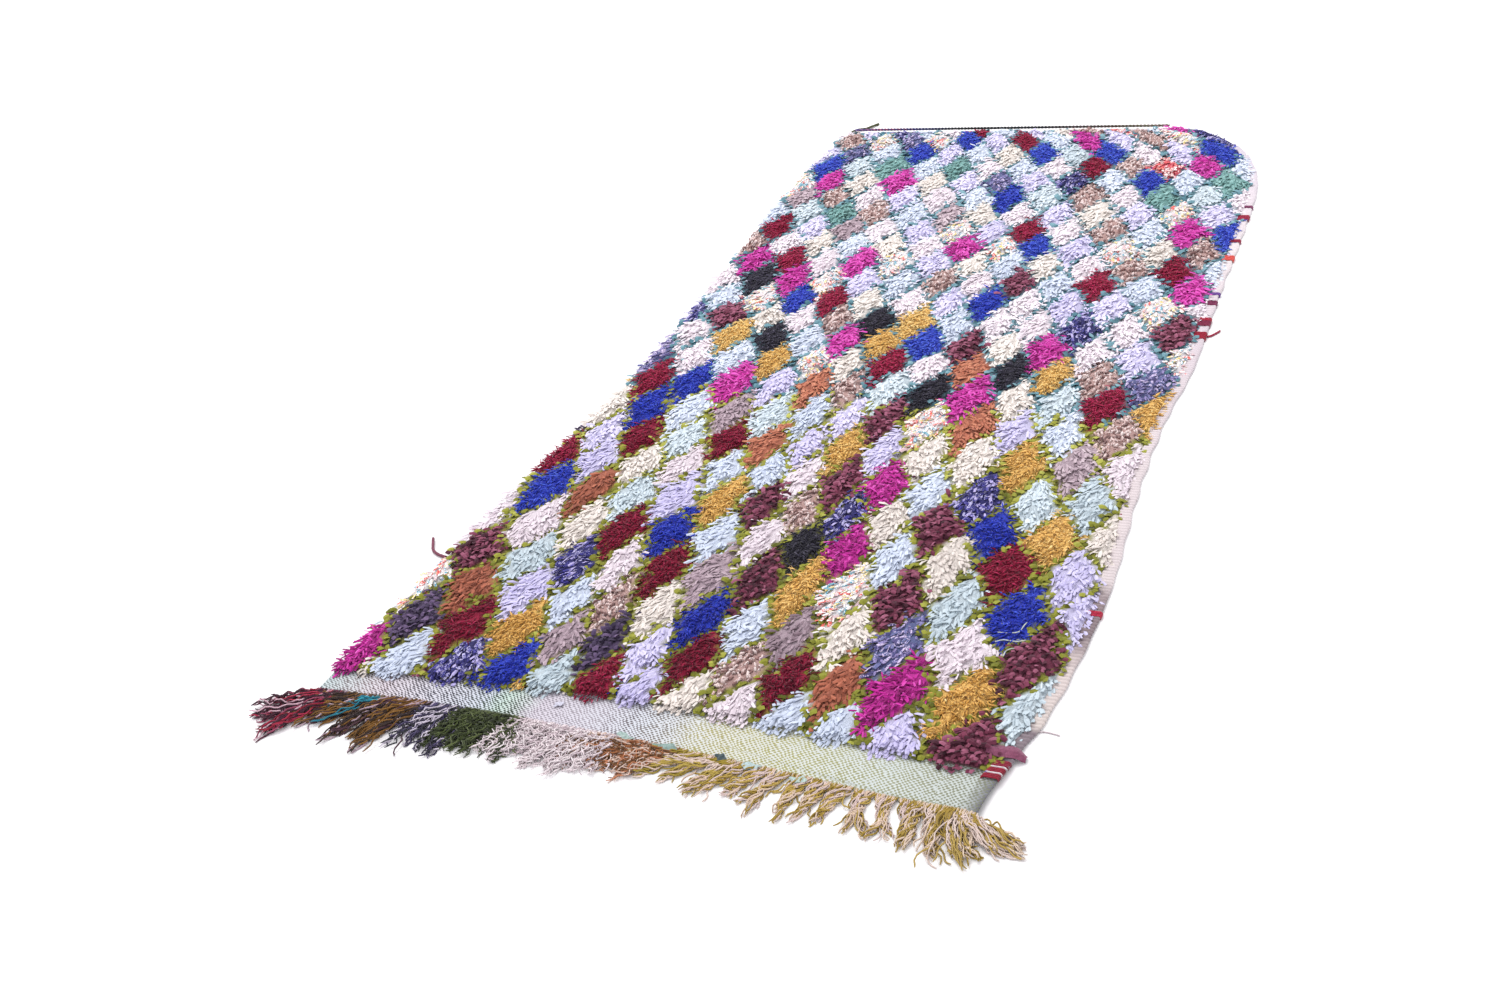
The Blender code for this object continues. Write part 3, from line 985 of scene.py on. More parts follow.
def closed_below(form: bmesh.types.BMesh, shape: ClothShape) -> None:
    """Closes a sheet with a wall round its border and one face just off the floor.

    Args:
        form: The open sheet.
        shape: The cloth, whose near right corner lifts the underside too.
    """
    border = [edge for edge in form.edges if edge.is_boundary]
    wall = bmesh.ops.extrude_edge_only(form, edges=border)["geom"]
    for vert in (item for item in wall if isinstance(item, bmesh.types.BMVert)):
        vert.co.z = float(shape.lift(vert.co.x, vert.co.y + shape.half)) + UNDERSIDE
    rim = [item for item in wall if isinstance(item, bmesh.types.BMEdge) and item.is_boundary]
    bmesh.ops.contextual_create(form, geom=rim)
    bmesh.ops.recalc_face_normals(form, faces=form.faces[:])


def thickened(form: bmesh.types.BMesh, thick: float) -> None:
    """Gives a sheet its thickness, upwards."""
    raised = bmesh.ops.extrude_face_region(form, geom=form.faces[:])["geom"]
    tops = [item for item in raised if isinstance(item, bmesh.types.BMVert)]
    bmesh.ops.translate(form, vec=(0.0, 0.0, thick), verts=tops)


def finished_mesh(name: str, form: bmesh.types.BMesh, smooth: bool = True) -> bpy.types.Object:
    """Turns a finished bmesh into a linked piece."""
    mesh = bpy.data.meshes.new(name)
    form.to_mesh(mesh)
    form.free()
    if smooth:
        mesh.shade_smooth()
        mesh.set_sharp_from_angle(angle=math.radians(60))
    return placed(name, mesh)


@dataclass
class GroundCloth:
    """The woven ground under the pile, with the nap of each lozenge's roots."""

    shape: ClothShape
    pile: Pile
    columns: int = 104
    rows: int = 190
    raised: float = 0.0008
    set_back: float = 0.013
    margin: float = 0.002
    right_margin: float = 0.004
    sink_from: float = 0.006
    sink_over: float = 0.008
    sunk_height: float = 0.0022
    change_place: float = 1.13
    line: float = 0.07
    underside: Colour = (150, 140, 130)

    def material(self) -> bpy.types.Material:
        """Makes the ground's material: the colours of the roots, fibrous and darkened as painted shade
        between the strands.
        """
        graph = Graph("ground_nap", roughness=0.95, sheen=0.1)
        place = graph.place()
        fibres = graph.noise(place, 420.0, 3.0)
        layer = graph.node("ShaderNodeAttribute", {"attribute_name": "nap"}, {})
        # painted shade: the roots' colours are darkened where the ground shows between strands, with fibre
        # noise
        colour = graph.scaled(layer.outputs["Color"], fibres * 0.7 + 0.46)
        return graph.finished(colour, fibres, 0.003, 0.9)

    def build(self) -> None:
        """Shapes the sheet to the cloth's outline and colours its nap."""
        shape = self.shape
        form = grid_form(self.columns, self.rows)
        places = points_of(form)
        share = places[:, 0]
        starts = shape.near(share) + shape.band(share) + self.set_back
        y = starts + (shape.length - self.margin - starts) * places[:, 1]
        left, right = shape.left(y) + self.margin, shape.right(y) - self.right_margin
        x = left + (right - left) * share
        row, column, inside = self.pile.lattice.cells(x, y)
        sunk = ease((x - shape.right(y) + shape.selvedge_width + self.sink_from) / self.sink_over)
        heights = (self.pile.root_height(x, y, inside) + self.raised) * (1.0 - sunk)
        heights = heights + (shape.lift(x, y) + self.sunk_height) * sunk
        fabric = self.pile.chart.fabric(row, column)
        line = np.where(y > self.change_place, FABRIC_KEYS.index("teal"), FABRIC_KEYS.index("olive"))
        fabric = np.where(inside < self.line, line, fabric)
        moved(form, x, y - shape.half, heights)
        closed_below(form, shape)
        piece = finished_mesh("ground_cloth", form)
        colours = np.array([linear(finish.nap) for finish in FABRICS.values()])
        layer = piece.data.attributes.new("nap", "FLOAT_COLOR", "POINT")
        filled = np.tile(linear(self.underside), (len(piece.data.vertices), 1))
        filled[: fabric.size] = colours[fabric]
        layer.data.foreach_set("color", filled.astype(np.float32).ravel())
        piece.data.materials.append(self.material())
        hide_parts("rug")
        report(piece)


@dataclass
class FlatBand:
    """The flat-woven band: pale weft over warps whose colours show as small dots."""

    shape: ClothShape
    width: float = 1.3
    cell_across: float = 0.0043
    cell_along: float = 0.0040
    bump: float = 0.0004
    bump_base: float = 0.0012
    border_height: float = 0.0018
    border_slope: float = 0.003
    columns: int = 420
    rows: int = 34
    tucked: float = 0.034
    waves: tuple[Wave, ...] = ((0.0006, 0.06, 1.1), (0.0008, 0.21, 0.3))
    dots: tuple[Stop, ...] = (
        (0.00, (112, 122, 122)), (0.07, (96, 78, 78)), (0.13, (40, 30, 32)),
        (0.18, (36, 34, 48)), (0.24, (28, 26, 34)), (0.27, (20, 40, 22)),
        (0.335, (22, 44, 20)), (0.345, (132, 126, 134)), (0.45, (140, 134, 142)),
        (0.50, (92, 86, 90)), (0.56, (110, 104, 96)), (0.60, (146, 140, 90)),
        (0.75, (146, 144, 92)), (0.88, (136, 138, 108)), (1.00, (112, 116, 100)),
    )
    # the last stop darkens the band's right end: painted shade of its rolled, lifted corner
    grounds: tuple[Stop, ...] = (
        (0.00, (190, 206, 206)), (0.10, (208, 200, 208)), (0.27, (200, 208, 218)),
        (0.30, (192, 212, 202)), (0.36, (202, 196, 206)), (0.52, (202, 207, 214)),
        (0.66, (202, 205, 196)), (0.85, (194, 202, 199)), (0.975, (184, 192, 188)),
        (1.00, (104, 104, 112)),
    )

    def material(self) -> bpy.types.Material:
        """Makes the weave's material, on the band's own UV map, in metres.

        Returns:
            A material whose dots take the warps' colours across the band.
        """
        graph = Graph("flat_weave", roughness=0.92, sheen=0.15)
        node = graph.node("ShaderNodeUVMap", {"uv_map": "weave"}, {})
        across, along, _ = graph.axes(node.outputs[0])
        place = graph.place()
        patches = graph.noise(place, 90.0)
        drift = graph.noise(place, 38.0)
        across = across + (drift - 0.5) * 0.010 + (patches - 0.5) * 0.004
        along = along + (drift - 0.5) * 0.008 + (patches - 0.5) * 0.003
        fibres = graph.noise(place, 1500.0)
        wave = (across * (math.pi / self.cell_across)).sine()
        wave = wave * (along * (math.pi / self.cell_along)).sine()
        dot = (wave * -1.0 + (fibres - 0.5) * 1.4 + (patches - 0.5) * 1.8).stepped(-0.26, 0.46)
        share = (across + (patches - 0.5) * 0.03) * (1.0 / self.width)
        ground = graph.ramp(share, self.grounds)
        warp = graph.ramp(share, self.dots)
        colour = graph.mixed(dot, ground, warp)
        colour = graph.scaled(colour, patches * 0.4 + fibres * 0.2 + 0.68)
        return graph.finished(colour, wave * 0.4 + fibres * 0.3, 0.0012, 0.7)

    def build(self) -> None:
        """Shapes the band with its bumps."""
        shape = self.shape
        form = grid_form(self.columns, self.rows)
        places = points_of(form)
        share = places[:, 0]
        near = shape.near(share)
        along = (shape.band(share) + self.tucked) * places[:, 1]
        y = near + along
        left, right = shape.left(y), shape.right(y)
        x = left + (right - left) * share
        across = share * self.width
        wave = np.sin(across * math.pi / self.cell_across) * np.sin(along * math.pi / self.cell_along)
        rise = shape.band_thick - self.bump_base + self.bump * (0.5 + 0.5 * wave)
        rise = rippled(rise, x, y, self.waves)
        from_border = np.minimum(np.minimum(across, self.width - across), along)
        edge = ease(from_border / self.border_slope)
        heights = shape.lift(x, y) + self.border_height + (rise - self.border_height) * edge
        weave = form.loops.layers.uv.new("weave")
        form.verts.index_update()
        for face in form.faces:
            for loop in face.loops:
                index = loop.vert.index
                loop[weave].uv = (across[index], along[index])
        moved(form, x, y - shape.half, heights)
        closed_below(form, shape)
        piece = finished_mesh("flat_band", form)
        piece.data.materials.append(self.material())
        report(piece)


@dataclass
class RightSelvedge:
    """The corded right edge: three thick warps with weft turned round them."""

    shape: ClothShape
    start: float = 0.052
    stop: float = 2.60
    rib_pitch: float = 0.0088
    rib_sections: int = 4
    sides: int = 9
    cord_bulge: float = 0.0012
    rib_depth: float = 0.16
    rib_shift: float = 0.0009
    width_wave: Wave = (0.12, 0.16, 1.2)
    place_wave: Wave = (0.0022, 0.055, 0.6)
    end_taper: float = 0.02
    wrap_pitch: float = 0.0034
    wrap_radius: float = 0.0017
    wrap_round: float = 1.06
    wrap_proud: float = 0.0012
    wraps: tuple[tuple[float, int, Colour], ...] = (
        (0.056, 3, (140, 18, 44)), (0.067, 1, (214, 200, 204)), (0.071, 3, (140, 18, 44)),
        (0.082, 1, (214, 200, 204)), (0.086, 4, (132, 24, 50)), (0.487, 4, (176, 30, 62)),
        (1.490, 9, (150, 24, 50)), (1.550, 7, (124, 34, 66)), (1.574, 4, (156, 26, 54)),
        (1.650, 6, (120, 44, 80)), (1.700, 3, (110, 70, 150)), (1.880, 7, (214, 84, 76)),
        (1.980, 4, (146, 28, 58)), (2.110, 7, (150, 30, 60)), (2.180, 3, (126, 60, 96)),
    )

    def material(self) -> bpy.types.Material:
        """Makes the edge's material: cream and pinkish wefts that change along it, with painted shade where
        the near corner lifts and in the grooves between the ribs.
        """
        graph = Graph("corded_edge", roughness=0.92, sheen=0.15)
        place = graph.place()
        _, along, _ = graph.axes(place)
        patches = graph.noise(place, 26.0)
        fibres = graph.noise(place, 900.0)
        share = (along + 1.4) * (1.0 / 2.8) + (patches - 0.5) * 0.03
        colour = graph.ramp(
            share,
            (
                # the dark grey first stops, up to where the near corner stops lifting, are painted shade
                (0.00, (120, 112, 120)), (0.075, (128, 116, 122)), (0.083, (200, 190, 184)),
                (0.14, (198, 186, 184)), (0.165, (126, 112, 116)), (0.205, (136, 122, 124)),
                (0.220, (200, 190, 190)), (0.42, (204, 194, 196)), (0.55, (198, 188, 194)),
                (0.70, (212, 204, 204)), (0.88, (200, 192, 200)), (1.00, (192, 186, 196)),
            ),
        )
        rib = (along * (WHOLE_TURN / self.rib_pitch)).sine()
        # painted shade and light of the ribs: darker in the grooves, lighter on the crests, with fibre
        # noise
        colour = graph.scaled(colour, rib * 0.15 + fibres * 0.5 + 0.72)
        return graph.finished(colour, rib * 0.3 + fibres * 0.5, 0.0012, 0.7)

    def section(self, share: Array) -> tuple[Array, Array]:
        """Lobed outline of the edge, from 0 to 1 round it: inwards and up, in metres."""
        turn = WHOLE_TURN * share
        half = self.shape.selvedge_width / 2
        high = self.shape.selvedge_thick / 2
        lobes = self.cord_bulge * np.cos(6 * turn) * np.abs(np.sin(turn))
        inward = half + half * np.sign(np.cos(turn)) * np.abs(np.cos(turn)) ** 0.7
        up = high + (high + lobes) * np.sign(np.sin(turn)) * np.abs(np.sin(turn)) ** 0.7
        return inward, np.maximum(up, 0.0003)

    def build(self) -> None:
        """Sweeps the edge along the cloth, and winds its coloured wraps."""
        shape = self.shape
        sections = int((self.stop - self.start) / self.rib_pitch * self.rib_sections)
        form = unit_prism(self.sides)
        rails = [edge for edge in form.edges if abs(edge.verts[0].co.z - edge.verts[1].co.z) > 0.5]
        bmesh.ops.subdivide_edges(form, edges=rails, cuts=sections - 1, use_grid_fill=True)
        places = points_of(form)
        inward, up = self.section(np.arctan2(places[:, 1], places[:, 0]) / WHOLE_TURN)
        y = self.start + (self.stop - self.start) * places[:, 2]
        rib = np.sin(WHOLE_TURN * y / self.rib_pitch)
        middle = np.zeros_like(y)
        width = rippled(middle + 1.0, middle, y, [self.width_wave])
        ends = ease(np.minimum(y - self.start, self.stop - y) / self.end_taper) * 0.6 + 0.4
        x = rippled(shape.right(y) - inward * width * ends, middle, y, [self.place_wave])
        x = x + self.rib_shift * rib
        z = up * (1.0 + self.rib_depth * rib) * ends + shape.lift(x, y)
        moved(form, x, y - shape.half, z)
        bmesh.ops.recalc_face_normals(form, faces=form.faces[:])
        edge = finished_mesh("right_edge", form)
        edge.data.materials.append(self.material())
        report(edge)
        for number, wrap in enumerate(self.wraps):
            self.wrap(number, *wrap)

    def wrap(self, number: int, y: float, turns: int, colour: Colour) -> None:
        """Winds yarn round the edge.

        Args:
            number: The wrap's number, for its name.
            y: Where it is, from the fringed end.
            turns: How many turns it has.
            colour: The yarn's colour.
        """
        share = np.linspace(0.0, turns, turns * 14 + 1)
        inward, up = self.section(share % 1.0)
        along = y + self.wrap_pitch * share
        right = self.shape.right(along)
        turn = WHOLE_TURN * share
        x = right - inward * self.wrap_round + self.wrap_proud * np.sign(-np.cos(turn))
        z = np.maximum(up + self.wrap_proud * np.sign(np.sin(turn)), 0.0014)
        z = z + self.shape.lift(x, along)
        centre = np.stack([x, along - self.shape.half, z], axis=1)[None]
        piece = strand_piece(f"edge_wrap_{number}", centre, self.wrap_radius, 6, np.array([0.5]))
        piece.data.materials.append(yarn_material(f"wrap_yarn_{number}", colour))
        report(piece)


def strand_piece(name: str, centre: Array, radius: float, sides: int, tone: Array) -> bpy.types.Object:
    """Makes round strands along centre lines.

    Args:
        name: Name of the new piece.
        centre: Points of the lines: strand, ring, axis.
        radius: Radius of the yarn.
        sides: Sides of its section.
        tone: Tone of each strand.

    Returns:
        The piece.
    """
    side, normal = frames_along(centre)
    rings = centre.shape[1]
    size = np.full((centre.shape[0], rings), radius)
    size[:, -1] *= 0.6
    form = StrandForm.grown(sides, rings, pointed_root=False)
    return repeated(name, form, Strands(centre, side, normal, size, size, tone))


def yarn_material(name: str, colour: Colour, light: Colour | None = None) -> bpy.types.Material:
    """Makes a plain yarn's material.

    Args:
        name: The material's name.
        colour: The yarn's colour.
        light: Colour of its fluff, or None for a little lighter.

    Returns:
        The material.
    """
    dark = tuple(int(channel * 0.62) for channel in colour)
    pale = light or tuple(min(255, int(channel * 1.22) + 14) for channel in colour)
    graph = Graph(name, roughness=0.9, sheen=0.2)
    place = graph.place()
    fibres = graph.noise(place, 1100.0, 3.0)
    tufts = graph.noise(place, 230.0)
    shade = fibres * 0.7 + tufts * 0.5 - 0.1
    colour_socket = graph.ramp(shade, ((0.25, dark), (0.5, colour), (0.8, pale)))
    return graph.finished(colour_socket, fibres, 0.0012, 0.8)


# ---- Fringe -------------------------------------------------------------------------------
@dataclass(frozen=True)
class FringeZone:
    """A run of the fringe whose warps are alike. Lengths in metres, leans in degrees."""

    name: str
    start: float
    stop: float
    locks: int
    strands: int
    lean_from: float
    lean_to: float
    length: float
    radius: float
    frizz: float
    crimp: float
    tangle: float
    yarn: float
    shades: tuple[Stop, ...]
    alternate: float = 0.0
    twist: float = 0.8
    stack: float = 0.0
    plied: bool = False


@dataclass
class Fringe:
    """The loose warp ends past the band, in locks."""

    shape: ClothShape
    rings: int = 19
    lock_swing: float = 0.35
    lock_jitter: float = 0.10
    lock_spread: tuple[float, float] = (0.82, 1.10)
    strand_spread: tuple[float, float] = (0.72, 1.08)
    stray_share: float = 0.10
    stray_turn: float = 0.45
    aim_limits: tuple[float, float] = (-1.30, 1.36)
    tucked: float = 0.004
    zones: tuple[FringeZone, ...] = (
        FringeZone(
            "fringe_plum", -0.655, -0.592, 5, 19, -58, -34, 0.158, 0.0130, 0.0045, 0.040, 0.7, 0.0017,
            printed(
                (66, 26, 44), (140, 22, 50), (84, 32, 54), (54, 24, 40), (216, 180, 192),
                (168, 40, 70), (70, 28, 48), (58, 28, 42), (150, 70, 96),
            ),
            alternate=5, twist=0.5, stack=0.008,
        ),
        FringeZone(
            "fringe_amber", -0.605, -0.392, 11, 21, -54, -20, 0.146, 0.0125, 0.0038, 0.042, 0.7, 0.0017,
            printed(
                (116, 80, 30), (56, 40, 34), (134, 94, 38), (76, 46, 58), (48, 36, 36), (104, 74, 34),
                (184, 160, 172),
            ),
            alternate=7, twist=0.6, stack=0.004,
        ),
        FringeZone(
            "fringe_turquoise", -0.525, -0.500, 1, 16, -60, -52, 0.128, 0.0075, 0.0040, 0.036, 0.9,
            0.0017, printed((30, 120, 140), (62, 170, 188), (24, 104, 128)), twist=0.4, stack=0.016,
        ),
        FringeZone(
            "fringe_navy", -0.402, -0.310, 6, 19, -34, 8, 0.122, 0.0095, 0.0048, 0.030, 1.4, 0.0016,
            printed((50, 44, 70), (204, 196, 212), (44, 46, 52), (84, 76, 112), (214, 206, 220)),
            twist=0.9,
        ),
        FringeZone(
            "fringe_green", -0.322, -0.196, 7, 33, -22, 16, 0.100, 0.0140, 0.0075, 0.024, 3.1, 0.0015,
            printed((52, 62, 30), (70, 82, 40), (92, 104, 58), (44, 52, 24)), twist=0.3, stack=0.004,
        ),
        FringeZone(
            "fringe_grey", -0.214, 0.010, 12, 24, -30, -8, 0.114, 0.0125, 0.0070, 0.025, 3.1, 0.0014,
            printed((230, 216, 220), (244, 234, 236), (206, 190, 196), (238, 226, 228)), twist=0.3,
            stack=0.003,
        ),
        FringeZone(
            "fringe_rust", -0.035, 0.125, 7, 26, -66, -48, 0.116, 0.0095, 0.0058, 0.028, 2.4, 0.0014,
            printed(
                (164, 104, 62), (224, 200, 186), (134, 88, 56), (196, 128, 88), (214, 188, 172),
                (120, 84, 48),
            ),
            twist=0.5, stack=0.007,
        ),
        FringeZone(
            "fringe_olive_left", 0.080, 0.240, 9, 17, -68, -40, 0.112, 0.0085, 0.0034, 0.040, 1.0,
            0.0016, printed((160, 140, 52), (216, 192, 174), (182, 160, 78), (224, 204, 192)),
            alternate=8, twist=1.1, plied=True, stack=0.003,
        ),
        FringeZone(
            "fringe_olive", 0.240, 0.560, 17, 17, -32, 14, 0.098, 0.0080, 0.0036, 0.036, 1.1, 0.0016,
            printed((166, 140, 56), (220, 198, 178), (190, 164, 82), (216, 196, 190)),
            alternate=15, twist=1.2, plied=True,
        ),
        FringeZone(
            "fringe_olive_near_right", 0.558, 0.606, 4, 22, 2, 26, 0.100, 0.0100, 0.0036, 0.036, 1.1,
            0.0017, printed((166, 140, 58), (222, 202, 182), (184, 158, 80), (222, 204, 194)),
            alternate=6, twist=1.0, plied=True,
        ),
        FringeZone(
            "fringe_olive_right", 0.600, 0.652, 5, 28, 38, 76, 0.130, 0.0125, 0.0036, 0.042, 1.2, 0.0017,
            printed((166, 140, 58), (222, 202, 182), (184, 158, 80), (222, 204, 194)),
            alternate=3, twist=0.8, plied=True, stack=0.005,
        ),
    )

    def centre_lines(self, zone: FringeZone, dice: np.random.Generator) -> tuple[Array, Array]:
        """Lays every strand of a zone.

        Args:
            zone: The zone.
            dice: Source of the unevenness.

        Returns:
            Points of the strands (strand, ring, axis) and the tone of each strand.
        """
        count = zone.locks * zone.strands
        lock = np.repeat(np.arange(zone.locks), zone.strands)
        pitch = (zone.stop - zone.start) / zone.locks
        swap = np.where(np.arange(zone.locks) % 2, 1, -1)
        lean = np.radians(np.linspace(zone.lean_from, zone.lean_to, zone.locks) + zone.alternate * swap)
        lean = lean + dice.normal(0.0, self.lock_jitter, zone.locks)
        swing = dice.normal(0.0, self.lock_swing, zone.locks)
        long = zone.length * dice.uniform(*self.lock_spread, zone.locks)
        beat = dice.uniform(0.0, WHOLE_TURN, zone.locks)
        stray = np.where(
            dice.random(count) < self.stray_share, dice.normal(0.0, self.stray_turn, count), 0.0
        )
        root = zone.start + pitch * (lock + dice.random(count))
        middle = zone.start + pitch * (lock + 0.5)
        length = long[lock] * dice.uniform(*self.strand_spread, count)
        steps = np.linspace(0.0, 1.0, self.rings)
        aim = np.clip(lean[lock] + stray, *self.aim_limits)[:, None]
        angle = aim * ease(steps * 2.6) + swing[lock][:, None] * (steps - 0.4)
        step = length[:, None] / (self.rings - 1)
        out_x, out_y = running(np.sin(angle)), running(np.cos(angle))
        gathered = ease(steps * 3.0)
        from_x = root[:, None] * (1.0 - gathered) + middle[:, None] * gathered
        place = dice.uniform(0.0, WHOLE_TURN, count)
        around = place[:, None] + zone.twist * WHOLE_TURN * steps
        away = np.sqrt(dice.random(count))[:, None] * zone.radius * (0.35 + 0.65 * gathered)
        away = away * (1.0 - 0.25 * steps**2)
        phase = (beat[lock] + dice.normal(0.0, zone.tangle, count))[:, None]
        waves = zone.length / zone.crimp * dice.uniform(0.85, 1.15, count)[:, None]
        beat_at = WHOLE_TURN * waves * steps + phase
        size = zone.frizz * ease(steps * 4.0) * dice.uniform(0.6, 1.2, count)[:, None]
        second = dice.uniform(0.0, WHOLE_TURN, count)[:, None]
        sway = size * np.sin(beat_at)
        nod = 0.55 * size * np.sin(0.83 * beat_at + second)
        back = 0.45 * size * np.cos(beat_at + 0.5 * second)
        left, right = self.shape.lefts[0], self.shape.rights[0]
        foot = self.shape.near(np.clip((root - left) / (right - left), 0.0, 1.0))
        sideways = away * np.cos(around) + sway
        x = from_x + out_x * step + sideways * np.cos(angle) + back * np.sin(angle)
        y = foot[:, None] + self.tucked - out_y * step + sideways * np.sin(angle) - back * np.cos(angle)
        lift = self.shape.lift(root, 0.0)[:, None] * (1.0 - ease(steps * 3.0))
        lying = zone.radius * 0.80 * (1.0 - 0.45 * steps) * gathered + 0.0036 * (1.0 - gathered)
        z = lying + away * np.sin(around) * 0.75 + nod + lift + zone.stack * gathered * (1.0 - steps)
        z = np.maximum(z, zone.yarn * 1.05 + 0.0010 * dice.random((count, 1)))
        tone = (place / WHOLE_TURN if zone.plied else dice.random(count)) % 1.0
        return np.stack([x, y - self.shape.half, z], axis=2), tone

    def build(self) -> None:
        """Makes one piece for each zone."""
        dice = np.random.default_rng(SEED + 2)
        for zone in self.zones:
            centre, tone = self.centre_lines(zone, dice)
            piece = strand_piece(zone.name, centre, zone.yarn, 3, tone)
            piece.data.materials.append(self.material(zone))
            report(piece)
            if zone is self.zones[0]:
                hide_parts("fringe")

    def material(self, zone: FringeZone) -> bpy.types.Material:
        """Makes a zone's yarn: each strand one of its colours, with fluff."""
        graph = Graph(zone.name, roughness=0.9, sheen=0.2)
        place = graph.place()
        fibres = graph.noise(place, 900.0, 3.0)
        tufts = graph.noise(place, 160.0)
        colour = graph.ramp(graph.attribute("tone"), zone.shades, hard=True)
        colour = graph.scaled(colour, fibres * 0.6 + tufts * 0.5 + 0.45)
        return graph.finished(colour, fibres, 0.0012, 0.8)


# ---- Cords and loose ends -----------------------------------------------------------------
@dataclass(frozen=True)
class LooseEnd:
    """A yarn or rag end that sticks out past an edge, by its route from its root."""

    node: str
    diameter: float
    colour: Colour
    root: Vector
    points: tuple[tuple[float, float, float], ...]


@dataclass
class EdgeCords:
    """The twined cord of the far end, and the loose ends."""

    shape: ClothShape
    cord_diameter: float = 0.008
    cord_rise: float = 0.0085
    cord_inset: float = 0.024
    cord_end: float = 0.370
    ply_turn: float = 0.021
    ply_offset: float = 0.48
    ply_radius: float = 0.56
    gap: float = 0.0003
    corner_x: float = -0.626
    rag_along: float = 0.421
    yarn_along: float = 1.511
    thread_along: float = 0.187

    def loose_ends(self) -> tuple[LooseEnd, ...]:
        """Returns the loose ends with their roots on the cloth's edges."""
        half = self.shape.half
        left = float(self.shape.left(self.rag_along))
        yarn = float(self.shape.right(self.yarn_along))
        thread = float(self.shape.right(self.thread_along))
        return (
            LooseEnd(
                "corner_tail", 0.008, (74, 78, 50), Vector((self.corner_x, half, 0.0)),
                (
                    (0.000, 0.001, 0.0046), (0.003, 0.012, 0.0055), (0.018, 0.026, 0.0060),
                    (0.040, 0.033, 0.0058), (0.050, 0.050, 0.0052), (0.067, 0.074, 0.0046),
                ),
            ),
            LooseEnd(
                "left_rag_tail", 0.007, (112, 52, 72), Vector((left, self.rag_along - half, 0.0)),
                (
                    (-0.001, 0.000, 0.0042), (-0.010, 0.002, 0.0040), (-0.028, 0.007, 0.0038),
                    (-0.047, 0.018, 0.0040), (-0.060, 0.036, 0.0048), (-0.072, 0.055, 0.0060),
                ),
            ),
            LooseEnd(
                "right_yarn_tail", 0.005, (146, 28, 58), Vector((yarn, self.yarn_along - half, 0.0)),
                (
                    (0.001, 0.000, 0.0030), (0.007, 0.001, 0.0028), (0.014, 0.009, 0.0027),
                    (0.021, 0.020, 0.0027), (0.025, 0.028, 0.0027),
                ),
            ),
            LooseEnd(
                "right_thread", 0.0024, (196, 182, 186),
                Vector((thread, self.thread_along - half, 0.0)),
                (
                    (0.001, 0.000, 0.0018), (0.012, 0.002, 0.0016), (0.023, 0.001, 0.0016),
                    (0.035, -0.001, 0.0016),
                ),
            ),
        )

    def far_cord(self) -> None:
        """Twines two plies along the far end."""
        radius = self.cord_diameter / 2
        start = float(self.shape.left(self.shape.length)) + self.cord_inset
        x = np.linspace(start, self.cord_end, 420)
        for ply, stops in enumerate(self.ply_stops()):
            turn = WHOLE_TURN * x / self.ply_turn + ply * math.pi
            y = self.shape.half + self.gap + radius + radius * self.ply_offset * np.cos(turn)
            z = self.cord_rise + radius + self.gap + radius * self.ply_offset * np.sin(turn)
            centre, ply_radius = np.stack([x, y, z], axis=1)[None], radius * self.ply_radius
            piece = strand_piece(f"far_cord_ply_{ply}", centre, ply_radius, 7, np.array([0.5]))
            graph = Graph(f"far_cord_yarn_{ply}", roughness=0.9)
            place = graph.place()
            across, _, _ = graph.axes(place)
            fibres = graph.noise(place, 1100.0, 3.0)
            colour = graph.ramp((across + 0.65) * (1.0 / 1.05) + (fibres - 0.5) * 0.02, stops)
            colour = graph.scaled(colour, fibres * 0.9 + 0.5)
            piece.data.materials.append(graph.finished(colour, fibres, 0.001, 0.8))
            report(piece)
            if ply == 0:
                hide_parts("far_edge_cord")

    def ply_stops(self) -> tuple[tuple[Stop, ...], ...]:
        """Colours along the two plies, from the left corner on."""
        return (
            (
                (0.00, (52, 60, 140)), (0.10, (96, 70, 110)), (0.22, (58, 62, 120)),
                (0.34, (34, 38, 40)), (0.60, (30, 34, 34)), (0.75, (84, 66, 74)),
                (0.90, (96, 96, 66)), (1.00, (120, 100, 90)),
            ),
            (
                (0.00, (120, 124, 176)), (0.12, (150, 70, 100)), (0.25, (40, 44, 90)),
                (0.36, (38, 46, 40)), (0.62, (44, 46, 52)), (0.78, (60, 60, 44)),
                (0.92, (130, 116, 110)), (1.00, (150, 140, 130)),
            ),
        )

    def tail(self, end: LooseEnd) -> None:
        """Lays one loose end as a cord.

        Args:
            end: The loose end.
        """
        route = smooth_route([end.root + Vector(point) for point in end.points], 3)
        curve = bpy.data.curves.new(end.node + "_yarn", "CURVE")
        curve.dimensions = "3D"
        curve.bevel_depth = end.diameter / 2
        curve.bevel_resolution = 2
        curve.use_fill_caps = True
        spline = curve.splines.new("POLY")
        spline.points.add(len(route) - 1)
        for number, (point, place) in enumerate(zip(spline.points, route)):
            point.co = (*place, 1.0)
            point.radius = 1.0 - 0.12 * (number % 2)
        piece = placed(end.node + "_yarn", curve)
        piece.data.materials.append(yarn_material(end.node + "_finish", end.colour))
        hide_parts(end.node)
        report(piece)

    def build(self) -> None:
        """Makes the far cord and every loose end."""
        self.far_cord()
        for end in self.loose_ends():
            self.tail(end)


